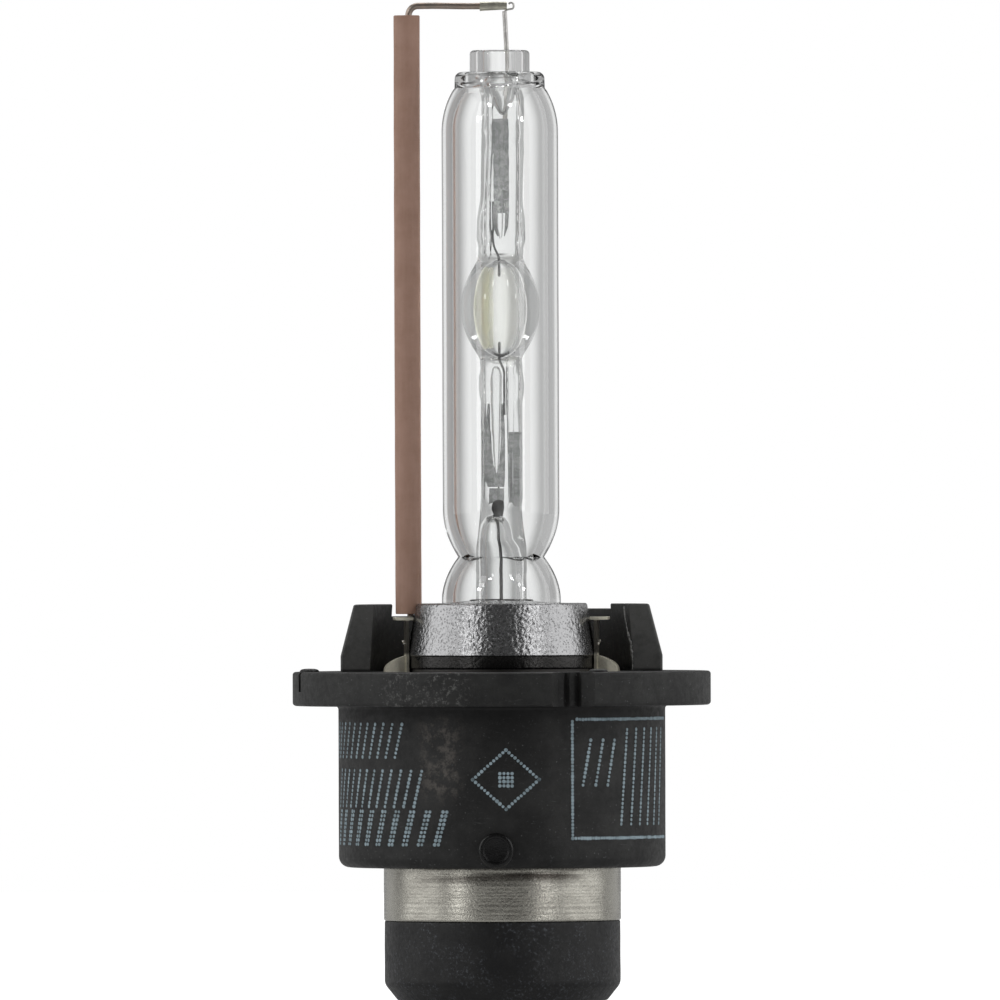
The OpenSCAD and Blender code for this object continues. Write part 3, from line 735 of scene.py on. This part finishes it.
FOIL_TOP = high("foil_lower").z
left_prong = prong([(-0.55, 14.1), (-0.64, 14.8), (-0.9, 15.8), (-1.0, 17), (-1.0, 18.3), (-0.88, 18.45),
                    (-0.84, FOIL_TOP)], [0.36, 0.4, 0.36, 0.34, 0.3, 0.13, 0.06])
right_prong = prong([(-0.1, 14.1), (-0.04, 14.8), (0.07, 15.8), (0.14, 17), (0.16, 18.6), (0.12, FOIL_TOP)],
                    [0.34, 0.34, 0.24, 0.18, 0.14, 0.08])
fin = prong([(1.0, 12.7), (1.03, 14.6), (1.05, 16.5), (1.05, 18.3)], [0.3, 0.32, 0.36, 0.36])
tab = prong([(-0.28, 12.75), (-0.3, 13.4), (-0.3, 14.0)], [0.48, 0.54, 0.52], 0.14)
piece(build("lower_foil_strip", both(left_prong, right_prong, fin, tab)), "molybdenum", "foil_lower",
      angle=60)


def electrode(tip, root, x0, x1, y0):
    """A tungsten rod from a rounded tip, leaning over to its root beside the foil."""
    sign = 1 if tip > root else -1
    path, radii = [], []
    for z in evenly(root, tip, 60)[:-2]:
        back = abs(tip - z)
        lean = smooth(back, 1.2, 3.0)
        path.append((x1 + (x0 - x1) * lean, y0 * lean, z))
        radii.append(0.085 + 0.02 * smooth(back, 1.0, 0.7))
    path += [(x1, 0, tip - sign * 0.08), (x1, 0, tip - sign * 0.04), (x1, 0, tip)]
    radii += [0.1, 0.08, 0.03]
    return tube(path, radii, 24, 0.05)


upper_tip, lower_tip = low("electrode_upper").z, high("electrode_lower").z
piece(build("upper_electrode_rod", electrode(upper_tip, high("electrode_upper").z, -0.5, -0.09, 0.14)),
      "tungsten", "electrode_upper", angle=50)
piece(build("lower_electrode_rod", electrode(lower_tip, low("electrode_lower").z, 0.27, -0.09, -0.1)),
      "tungsten", "electrode_lower", angle=50)


def lead_upper():
    """A bent wire up through the glass, and a thin hook round the bridge's end."""
    foot, x_end = low("lead_upper").z, high("lead_upper").x
    path = [(0.3, 0.22, foot), (0.38, 0.22, foot + 0.8), (0.46, 0.12, 42.8), (0.52, 0.04, 43.3)]
    path += [(x, 0, z) for x, z in ((0.57, 43.8), (0.6, 44.5), (0.6, 45.1), (0.59, 45.6), (0.575, 46.1),
                                    (0.56, 47), (0.52, 48), (0.47, 49), (0.42, 50), (0.4, 50.5))]
    hook = [(0.4, -0.02, 50.35), (0.46, -0.02, 50.52), (0.62, -0.02, 50.62)]
    hook += [(x_end - back, 0, z) for back, z in ((0.16, 50.68), (0.09, 50.78), (0.07, 50.92), (0.1, 51.06),
                                                  (0.2, 51.14), (0.34, 51.14), (0.46, 51.05))]
    return both(tube(divided(path, 4) + path[-1:], 0.175, 20, 0.06), tube(hook, 0.075, 14, 0.05))


piece(build("upper_lead_wire", lead_upper()), "lead_wire", "lead_upper", angle=60)


def lead_lower():
    foot, top = low("lead_lower").z, high("lead_lower").z
    path, radii = [], []
    for z in evenly(foot, top, 260):
        path.append((-0.01 - 0.17 * smooth(z, 10.9, 12.4), 0.28 * smooth(z, 12.55, 12.85), z))
        radii.append((0.13 + 0.26 * smooth(z, 11.2, 12.75)) * (1 - 0.85 * smooth(z, 12.75, 12.83)))
    return tube(path, radii, 20, 0.08)


piece(build("lower_lead_wire", lead_lower()), "dark_lead", "lead_lower", angle=60, slot="lead_wire")


def halide_film():
    """A thin uneven coating on the chamber's wall."""
    wall = [p for p in egg(CHAMBER_R, CHAMBER_FOOT, CHAMBER_TOP, 64) if 24.9 < p[1] < 30.7]

    def shape(r, z, a):
        return at(r - 0.012 * ruffle(cos(a) * 2, sin(a) * 2, z), z, a)

    return revolve([(r + 0.012, z) for r, z in wall] + [(r - 0.04, z) for r, z in reversed(wall)], 96, shape)


film = outward(build("halide_film", halide_film()))
piece(film, "fill_salts", "halide_salts", angle=80).visible_shadow = False


# ---- return conductor

def ceramic_tube():
    outline = rounded([(0.45, TUBE_FOOT, 0.05), (TUBE_R, TUBE_FOOT, 0.08), (TUBE_R, TUBE_TOP, 0.1),
                       (0.45, TUBE_TOP, 0.06)], 5)
    fine = refined(outline, lambda r0, z0, r1, z1: 90 if abs(z1 - z0) > 5 else 1)

    def shape(r, z, a):
        k = r * (1 + 0.012 * ruffle(cos(a), sin(a), z * 0.35))
        lean = 0.03 * sin((z - TUBE_FOOT) / (TUBE_TOP - TUBE_FOOT) * pi)
        return TUBE_X + k * cos(a) - lean * 0.5, k * sin(a), z

    return revolve(fine, 64, shape)


piece(build("ceramic_tube", ceramic_tube()), "brown_ceramic", "return_insulator")

wire_path = [(WIRE_X, 0, z) for z in evenly(WIRE_FOOT, TUBE_TOP, 60)]
piece(build("return_wire_rod", tube(wire_path, WIRE_R, 24, 0.03)), "return_nickel", "return_wire", angle=60)


def bridge():
    path = [(WIRE_X + BEND_R * (1 - cos(t)), 0, TUBE_TOP + BEND_R * sin(t)) for t in evenly(0, pi / 2, 12)]
    for i, x in enumerate(evenly(path[-1][0], FOLD_HIGH.x - 0.02, 60)[1:], 1):
        path.append((x, 0, BRIDGE_Z + 0.012 * sin(i / 60 * 9) - 0.03 * smooth(i, 0, 60)))
    return tube(path, WIRE_R, 24, 0.04)


piece(build("return_bridge_rod", bridge()), "return_nickel", "return_bridge", angle=60)


def fold():
    """A strip of sheet folded round the bridge, open below, with uneven edges."""
    sections = []
    half_w, half_h = (FOLD_HIGH.y - FOLD_LOW.y) / 2, (FOLD_HIGH.z - FOLD_LOW.z) / 2
    for i, x in enumerate(evenly(FOLD_LOW.x, FOLD_HIGH.x, 24)):
        squeeze = 1 - 0.12 * exp(-((i - 8) / 3) ** 2) - 0.1 * exp(-((i - 17) / 3) ** 2)
        sections.append([])
        for a in evenly(0, TAU, 28)[:-1]:
            c, s = cos(a), sin(a)
            u, v = copysign(abs(c) ** 0.62, c), copysign(abs(s) ** 0.62, s)
            rag = 1 + 0.05 * ruffle(x * 1.8, c, s)
            z = BRIDGE_Z + v * half_h * rag * 0.94 - 0.05 * max(0, -v) * (1 - i / 24) * 2
            sections[-1].append((x, u * half_w * squeeze * rag * 0.94, z))
    return sweep(sections)


piece(build("weld_fold_strip", fold()), "fold_nickel", "weld_fold", angle=45, slot="return_nickel")


# ---- collar and rings

def collar():
    outline = rounded([(5.3, COLLAR_FOOT, 0.05), (COLLAR_FOOT_R - 0.04, COLLAR_FOOT, 0.08),
                       (COLLAR_FOOT_R - 0.04, 1.2, 0.0), (COLLAR_FOOT_R, 1.24, 0.0),
                       (6.54, COLLAR_TOP, 0.2), (4.75, COLLAR_TOP, 0.12), (4.75, 4.3, 0), (5.3, 3.7, 0)], 5)

    def parts(r0, z0, r1, z1):
        if r0 > 6 and z1 - z0 > 0.5:
            return 84 if z1 - z0 > 2 else 14
        return 18 if z1 == z0 and r0 - r1 > 0.8 else 1

    def shape(r, z, a):
        c, s = cos(a), sin(a)
        k, top = r, z
        if z > 1.3 and r > 5.5:
            k += 0.02 * noise.fractal(Vector(at(r, z, a)) * 3.6, 0.9, 2.1, 4) * smooth(z, 1.3, 1.6)
        if z > COLLAR_TOP - 0.2 and r < 6.4:
            front = smooth(cos(a + pi / 2 + 0.06), 0.6, 0.86)
            p = Vector((r * c * 0.7, r * s * 0.7, 3.0))
            top += front * (0.2 + 0.10 * noise.noise(p * 1.7)) * smooth(r, 6.35, 5.7)
        elif z > COLLAR_TOP - 0.25:
            top += 0.05 * ruffle(r * c * 0.9, r * s * 0.9, 3.0)
        return at(k, top, a)

    return revolve(refined(outline, parts), 800, shape)


piece(build("glare_collar_body", collar()), "textured_black", "glare_collar", angle=60)


UPRIGHT_R = 7.47


def arc_sheet(profile, start, stop, steps):
    """Sweeps a closed (r, z) profile through an angle, in degrees."""
    return sweep([[at(r, z, radians(a)) for r, z in reversed(profile)] for a in evenly(start, stop, steps)])


def carrier():
    """Washer, two folded uprights and the domed foot, all of thin sheet."""
    t, top = 0.22, 4.15
    parts = []
    washer = rounded([(4.9, -0.3, 0.05), (7.0, -0.3, 0.05), (7.0, t, 0.06), (4.9, t, 0.06)], 3)
    parts.append(revolve(washer, 160))
    for side in (0, 180):
        upright = rounded([(7.25, -0.2, 0), (UPRIGHT_R, -0.2, 0), (UPRIGHT_R, top - t, 0.1),
                           (8.3, top - t, 0.05), (8.3, top, 0.05), (6.9, top, 0.08), (6.9, top - t, 0.05),
                           (7.25, top - t, 0.06)], 3)
        parts.append(arc_sheet(upright, side - 13, side + 13, 24))
    dome = [(7.25, -0.3), (9.1, -0.3)] + flare(9.04, 0.11, 7.25, 1.25, 1.6, 14)
    parts.append(arc_sheet(dome, -12, 192, 120))
    for a in (45, 135, 225, 315):
        tongue = rounded([(4.9, 0.1, 0), (5.12, 0.1, 0), (5.12, 3.2, 0.08), (4.9, 3.2, 0.08)], 3)
        parts.append(arc_sheet(tongue, a - 12, a + 12, 8))
    return both(*parts)


piece(outward(build("carrier_ring_sheet", carrier())), "spring_steel", "carrier_ring", angle=40)


def nugget(centre, r, seed):
    """A lumpy weld spot."""
    verts, faces = revolve(egg(1, -1, 1, 12), 20, closed=False)
    out = []
    for p in map(Vector, verts):
        k = r * (0.85 + 0.25 * noise.noise(p * 1.5 + Vector((seed, 0, 0))))
        out.append((centre[0] + p.x * k, centre[1] + p.y * k, centre[2] + p.z * k * 0.9))
    return out, faces


def weld_spots():
    parts, r = [], UPRIGHT_R + 0.05
    for side in (-1, 1):
        for angle, z in ((-5, 2.3), (-10.5, 2.12)):
            a = radians(angle)
            parts.append(nugget((side * r * cos(a), r * sin(a), z), 0.16, side * 3 + angle))
    parts.append(nugget((WIRE_X, -0.37, 4.25), 0.19, 9))
    return both(*parts)


piece(build("weld_nuggets", weld_spots()), "weld_metal", "weld_spots", angle=80)


# ---- base housing

GUARD_IN, GUARD_OUT = 10.15, 12.32


def guard_height(angle):
    if angle < 31 or angle > 149:
        return GUARD_TOP
    return 4.75 if angle < 100 else 4.2


def guard_section(angle, inset=0.0):
    """Outline of the guard wall at an angle, shrunk by inset."""
    h = guard_height(angle)
    lean = (h - 1.2) / (GUARD_TOP - 1.2)
    outer_top = GUARD_OUT + (11.3 - GUARD_OUT) * lean
    inner_top = GUARD_IN + (9.75 - GUARD_IN) * h / GUARD_TOP
    return rounded([(GUARD_IN + inset, -0.6, 0), (GUARD_OUT - inset, -0.6, 0),
                    (GUARD_OUT - inset, 1.2 - inset * 0.3, 0.5), (outer_top - inset, h - inset, 0.22),
                    (inner_top + inset, h - inset, 0.12)], 4)


def guard_wall():
    """A wall round the back half, with rounded ends and steps in its height."""
    ends = [(e, 0.14 * (1 - sin(acos(1 - e / 0.7)))) for e in (0, 0.08, 0.2, 0.4, 0.7)]
    angles = [(-6 + e, inset) for e, inset in ends] + [(186 - e, inset) for e, inset in ends]
    angles += [(-5 + 1.5 * i, 0.0) for i in range(127)]
    angles += [(step + e, 0.0) for step in (31, 100, 149) for e in (-0.02, 0.02)]
    return sweep([[at(r, z, radians(angle)) for r, z in reversed(guard_section(angle, inset))]
                  for angle, inset in sorted(angles)])


def lug(angle):
    root, end, r = 11.0, BODY_R + 1.1, 1.33
    outline = rounded([(0, root, 0), (r, root, 0), (r, end, 0.22), (r - 0.36, end, 0.08),
                       (r - 0.42, end - 0.12, 0.06), (0, end - 0.12, 0)], 5)
    axis = Matrix.Rotation(radians(angle), 4, "Z") @ Matrix.Translation((0, 0, LUG_Z))
    axis = axis @ Matrix.Rotation(radians(90), 4, "Y")
    return moved(revolve(outline, 72, closed=False), axis)


def box(x0, x1, y0, y1, z0, z1, turn=0.0):
    corners = [(x, y, z) for z in (z0, z1) for x, y in ((x0, y0), (x1, y0), (x1, y1), (x0, y1))]
    sides = [(i, (i + 1) % 4, (i + 1) % 4 + 4, i + 4) for i in range(4)]
    return moved((corners, [(0, 3, 2, 1), (4, 5, 6, 7)] + sides), Matrix.Rotation(radians(turn), 4, "Z"))


def base_housing():
    outline = rounded([(10.8, BODY_FOOT, 0.25), (BODY_R, BODY_FOOT, 0.95), (BODY_R, -FLANGE_T, 0.3),
                       (FLANGE_R, -FLANGE_T, 0.28), (FLANGE_R, 0, 0.24), (9.35, 0, 0.08),
                       (9.35, -0.3, 0.05), (5.3, -0.3, 0.12), (5.3, -1.9, 0.1), (10.8, -1.9, 0.4)], 7)
    fine = refined(outline, lambda r0, z0, r1, z1: 16 if abs(z1 - z0) > 3 else 1)

    def shape(r, z, a):
        if r > 11:
            r = min(r + 0.012 * ruffle(cos(a) * 2.2, sin(a) * 2.2, z * 0.3), FLANGE_R)
        return at(r, z, a)

    main = build("base_housing_body", revolve(fine, 288, shape))
    combine(main, outward(build("guard", guard_wall())), "UNION")
    for angle in (-92, 88):
        combine(main, outward(build("lug", lug(angle))), "UNION")
    for angle in (60, 180, 300):
        dome = [(0, -0.8), (0.75, -0.8), (0.75, 0.04), (0.7, 0.13), (0.58, 0.2), (0.35, 0.24), (0, 0.25)]
        spot = Matrix.Rotation(radians(angle), 4, "Z") @ Matrix.Translation((14.7, 0, 0))
        boss = moved(revolve(dome, 48, closed=False), spot)
        combine(main, outward(build("boss", boss)), "UNION")
    cuts = [box(FLANGE_R - 1.6, FLANGE_R + 1, -0.95, 0.95, -4, 1, -70),
            box(FLANGE_R - 0.6, FLANGE_R + 1, -0.3, 0.3, -1.5, 1, -164.6),
            box(-8.57, -7.97, -0.95, 0.95, -3, 1)]
    corner = moved(box(-1.3, 1.3, -1.3, 1.3, -4, 1, 45), Matrix.Translation((FLANGE_R, 0, 0)))
    cuts.append(moved(corner, Matrix.Rotation(radians(-70), 4, "Z")))
    for cut in cuts:
        combine(main, outward(build("cut", cut)), "DIFFERENCE")
    return main


piece(base_housing(), "moulded_black", "base_housing", angle=30)


def flash_ridge():
    """The rough burr left along the right-hand end face's inner corner."""
    path = [(9.36, -1.0, 4.95), (9.40, -1.02, 4.4), (9.48, -1.03, 3.8), (9.6, -1.04, 3.2), (9.74, -1.05, 2.6),
            (9.88, -1.06, 2), (9.97, -1.07, 1.5), (10, -1.07, 0.9), (10.02, -1.07, 0.3), (10.03, -1.07, 0.02)]
    points = [p + Vector((0.05 * noise.noise(p * 4), 0, 0)) for p in divided(path, 8)]
    radii = [0.05 + 0.035 * ruffle(0, 0, i * 0.55) + 0.04 * smooth(i, 20, 40) * (1 - smooth(i, 48, 60))
             for i in range(len(points))]
    return tube(points, radii, 12, 0.35)


# the burr's lighter grey is a painted glint on rough black plastic
piece(build("guard_flash", flash_ridge()), "burr_painted_glint", angle=80, slot="moulded_black")


# ---- plug end

def sleeve():
    outline = rounded([(SLEEVE_R - 0.6, SLEEVE_FOOT, 0.05), (SLEEVE_R, SLEEVE_FOOT, 0.14),
                       (SLEEVE_R, BODY_FOOT, 0.0), (SLEEVE_R - 0.6, BODY_FOOT, 0.0)], 5)
    fine = refined(outline, lambda r0, z0, r1, z1: 90 if r0 > 9 and z1 - z0 > 2 else 1)

    def shape(r, z, a):
        if r > 8.9:
            turned = 0.005 * ruffle(0, 0, z * 5) + 0.002 * ruffle(0, 3, z * 13)
            r += turned * smooth(z, SLEEVE_FOOT + 0.1, SLEEVE_FOOT + 0.5) - 0.008
            r = min(r + 0.008 * ruffle(cos(a) * 9, sin(a) * 9, z * 1.3), SLEEVE_R)
        return at(r, z, a)

    tab_foot, tab_top = BODY_FOOT - 0.4, -9.9
    tab = arc_sheet([(8.47, tab_foot), (8.82, tab_foot), (8.82, tab_top), (8.47, tab_top)], 175, 185, 6)
    return both(revolve(fine, 256, shape), tab)


piece(outward(build("contact_sleeve_ring", sleeve())), "satin_nickel", "contact_sleeve", angle=40)


def plug():
    inner, top = SLEEVE_R - 0.6, SLEEVE_FOOT
    outline = rounded([(2.2, -19.5, 0.05), (4.7, -19.5, 0.3), (4.7, PLUG_FOOT, 0.25), (8.0, PLUG_FOOT, 0.45),
                       (PLUG_R, PLUG_FOOT + 1.3, 0.9), (PLUG_R, top, 0.12), (inner, top, 0),
                       (inner, BODY_FOOT, 0), (10.8, BODY_FOOT, 0.15), (10.8, -13, 0.2), (5.6, -13, 0.3),
                       (5.6, -4, 0.25), (3.3, -4, 0.15), (3.3, -16.6, 0), (2.2, -16.6, 0)], 6)
    fine = refined(outline, lambda r0, z0, r1, z1: 20 if abs(z1 - z0) > 3 else 1)

    def shape(r, z, a):
        if r > 7.5 and z < top:
            r += 0.02 * ruffle(cos(a) * 3, sin(a) * 3, z * 0.5) - 0.012
        return at(r, z, a)

    main = build("plug_body", revolve(fine, 224, shape))
    slot = box(-9.2, -8.4, -0.85, 0.85, BODY_FOOT - 0.05, -9)
    combine(main, outward(build("cut", slot)), "DIFFERENCE")
    return main


piece(plug(), "plug_black", "plug_core", angle=32)


# ---- printed marks

def dots_on_body():
    """Plain dotted bars, blocks and outlines printed round the body. None of it is lettering."""
    spots, pitch = [], 0.31

    def line(x0, z0, x1, z1, gap=pitch):
        n = max(1, round(hypot(x1 - x0, z1 - z0) / gap))
        spots.extend(zip(evenly(x0, x1, n), evenly(z0, z1, n)))

    def unrolled(x):
        return BODY_R * asin(max(-0.999, min(0.999, x / BODY_R)))

    # three rows of plain slanted hatching on the left, the lowest one heavier
    for z0, z1, x_end, strokes in ((-6.45, -3.95, -7.6, 1), (-10.2, -7.5, -6.1, 1), (-13.1, -10.6, -4.2, 2)):
        x = unrolled(x_end)
        while x > unrolled(-12.35):
            for k in range(strokes):
                line(x - k * pitch - 0.7, z0, x - k * pitch, z1)
            x -= 0.95 + 0.45 * (strokes - 1)
    # a dotted diamond round a plain square
    cx, cz = unrolled(0.3), -8.15
    w, h = 2.55, 2.25
    for sx in (-1, 1):
        for sz in (-1, 1):
            line(cx + sx * w, cz, cx, cz + sz * h)
    spots.extend((cx + (i - 1.5) * pitch, cz + (k - 1.5) * pitch) for i in range(4) for k in range(4))
    # a plain frame with hatching on the right
    left, right = unrolled(5.36), unrolled(12.35)
    line(left, -3.75, left, -12.65, 0.26)
    line(left, -12.65, right, -12.65, 0.26)
    line(left + 0.4, -3.6, right, -3.6, 0.26)
    for z0, z1, start, count in ((-8.6, -5.2, 0.9, 3), (-11.6, -4.4, 4.6, 8)):
        for k in range(count):
            x = left + start + k * 1.15
            if x < right - 0.8:
                line(x, z0, x + 0.7, z1)
    return spots


def ink_mesh():
    """A thin disc for each dot, sunk a little into the body."""
    discs, sides = [], 8
    for u, z in dots_on_body():
        a = u / BODY_R - pi / 2
        z += rng.uniform(-0.012, 0.012)
        r = 0.138 * rng.uniform(0.82, 1.1)
        out, side = Vector((cos(a), sin(a), 0)), Vector((-sin(a), cos(a), 0))
        rim = [side * (r * cos(TAU * k / sides)) + Vector((0, 0, z + r * sin(TAU * k / sides)))
               for k in range(sides)]
        discs.append(sweep([[tuple(out * (BODY_R + lift) + p) for p in rim] for lift in (-0.03, 0.016)]))
    return both(*discs)


piece(outward(build("body_marks", ink_mesh())), "marking_ink", angle=30, slot="moulded_black")


# ---- carried-over nodes

for node, look in (("clamp_ring", "spring_steel"), ("hv_insulator", "inner_insulator"),
                   ("return_strap", "spring_steel"), ("centre_contact", "contact_metal")):
    wear(frame["nodes"][node], look)


# ---- stage, light and camera

def stage_floor():
    side = 0.5
    corners = [(-side, -side, 0), (side, -side, 0), (side, side, 0), (-side, side, 0)]
    floor = build("floor", (corners, [(0, 1, 2, 3)]), 1.0)
    floor.location.z = PLUG_FOOT * MM - 0.00002
    material = bpy.data.materials.new("pale_floor")
    material.use_nodes = True
    k = Nodes(material.node_tree)
    diffuse = k.add("BsdfDiffuse")
    diffuse.inputs["Color"].default_value = (0.3, 0.3, 0.3, 1)
    glow = k.add("Emission")
    k.feed(glow.inputs["Strength"], k.range(k.add("LightPath").outputs["Is Camera Ray"], 0, 1, 0.3, 1.0))
    total = k.add("AddShader")
    k.feed(total.inputs[0], diffuse.outputs[0])
    k.feed(total.inputs[1], glow.outputs[0])
    k.feed(k.add("OutputMaterial").inputs["Surface"], total.outputs[0])
    floor.data.materials.append(material)
    floor.visible_transmission = False


stage_floor()


def world():
    """White behind the lamp, and dimmer towards the camera's side for reflections."""
    w = bpy.data.worlds.new("studio")
    bpy.context.scene.world = w
    w.use_nodes = True
    k = Nodes(w.node_tree)
    split = k.add("SeparateXYZ")
    k.feed(split.inputs[0], k.add("TexCoord").outputs["Generated"])
    x, y, z = split.outputs
    ray = k.add("LightPath").outputs

    def mixed(factor, a, b):
        n = k.add("Mix")
        for socket, value in ((n.inputs["Factor"], factor), (n.inputs[2], a), (n.inputs[3], b)):
            k.feed(socket, value)
        return n.outputs[0]

    across = k.math("MINIMUM", k.math("ABSOLUTE", x), k.math("ABSOLUTE", y))
    panel = k.product(k.range(across, 0.08, 0.36, 1, 0), k.range(k.math("ABSOLUTE", z), 0.45, 0.8, 1, 0))
    through = mixed(panel, k.range(x, -1, 1, 0.33, 0.46), 0.95)
    around = k.range(y, -0.5, 0.1, 0.05, 0.24)
    seen = mixed(ray["Is Transmission Ray"], around, through)
    back = k.add("Background")
    back.inputs["Color"].default_value = (1, 1, 1, 1)
    k.feed(back.inputs["Strength"], mixed(ray["Is Camera Ray"], seen, 1.0))
    k.feed(k.add("OutputWorld").inputs["Surface"], back.outputs[0])


world()


def softbox(name, azimuth, elevation, distance, width, height, radiance, aim=(0, 0, 0.01)):
    """An area light seen from the lamp at an azimuth from the camera's side, positive to the right."""
    data = bpy.data.lights.new(name, "AREA")
    data.shape = "RECTANGLE"
    data.size, data.size_y = width, height
    data.energy = radiance * pi * width * height
    obj = bpy.data.objects.new(name, data)
    a, e = radians(azimuth), radians(elevation)
    way = Vector((sin(a) * cos(e), -cos(a) * cos(e), sin(e)))
    obj.location = Vector(aim) + way * distance
    obj.rotation_mode = "QUATERNION"
    obj.rotation_quaternion = way.to_track_quat("Z", "Y")
    obj.visible_camera = False
    obj.visible_transmission = False
    bpy.context.scene.collection.objects.link(obj)
    return obj


glassware = bpy.data.collections.new("glassware")
for name in ("outer_bulb_glass", "arc_tube_glass"):
    glassware.objects.link(bpy.data.objects[name])
softbox("top", 180, 62, 0.45, 0.35, 0.25, 3.0)
for side, name in ((-1, "left"), (1, "right")):
    softbox("side_" + name, side * 85, 14, 0.42, 0.4, 0.5, 1.4)
    softbox("front_" + name, side * 43, 20, 0.5, 0.1, 0.42, 3.6)
    softbox("rear_" + name, side * 140, 4, 0.5, 0.25, 0.7, 0.35)
    # small lamps that only the glass reflects
    for k, (turn, rise, size) in enumerate(((26, 38, 0.038), (46, 18, 0.046))):
        lamp = softbox(f"lamp_{name}{k}", side * turn, rise, 0.45, size, size, 40.0, (0, 0, 0.0277))
        lamp.visible_transmission = True
        lamp.light_linking.receiver_collection = glassware

camera_data = bpy.data.cameras.new("camera")
camera_data.sensor_width = 36
camera_data.lens = 847
camera_data.dof.use_dof = False
camera_data.clip_start, camera_data.clip_end = 0.05, 20
camera = bpy.data.objects.new("camera", camera_data)
camera.location = (-0.00008, -1.8, 0.0131)
camera.rotation_euler = (pi / 2, radians(0.2), 0)
bpy.context.scene.collection.objects.link(camera)
bpy.context.scene.camera = camera

scene = bpy.context.scene
scene.view_settings.view_transform = "Standard"
scene.view_settings.look = "None"
scene.cycles.max_bounces = 24
scene.cycles.transmission_bounces = 24
scene.cycles.glossy_bounces = 8
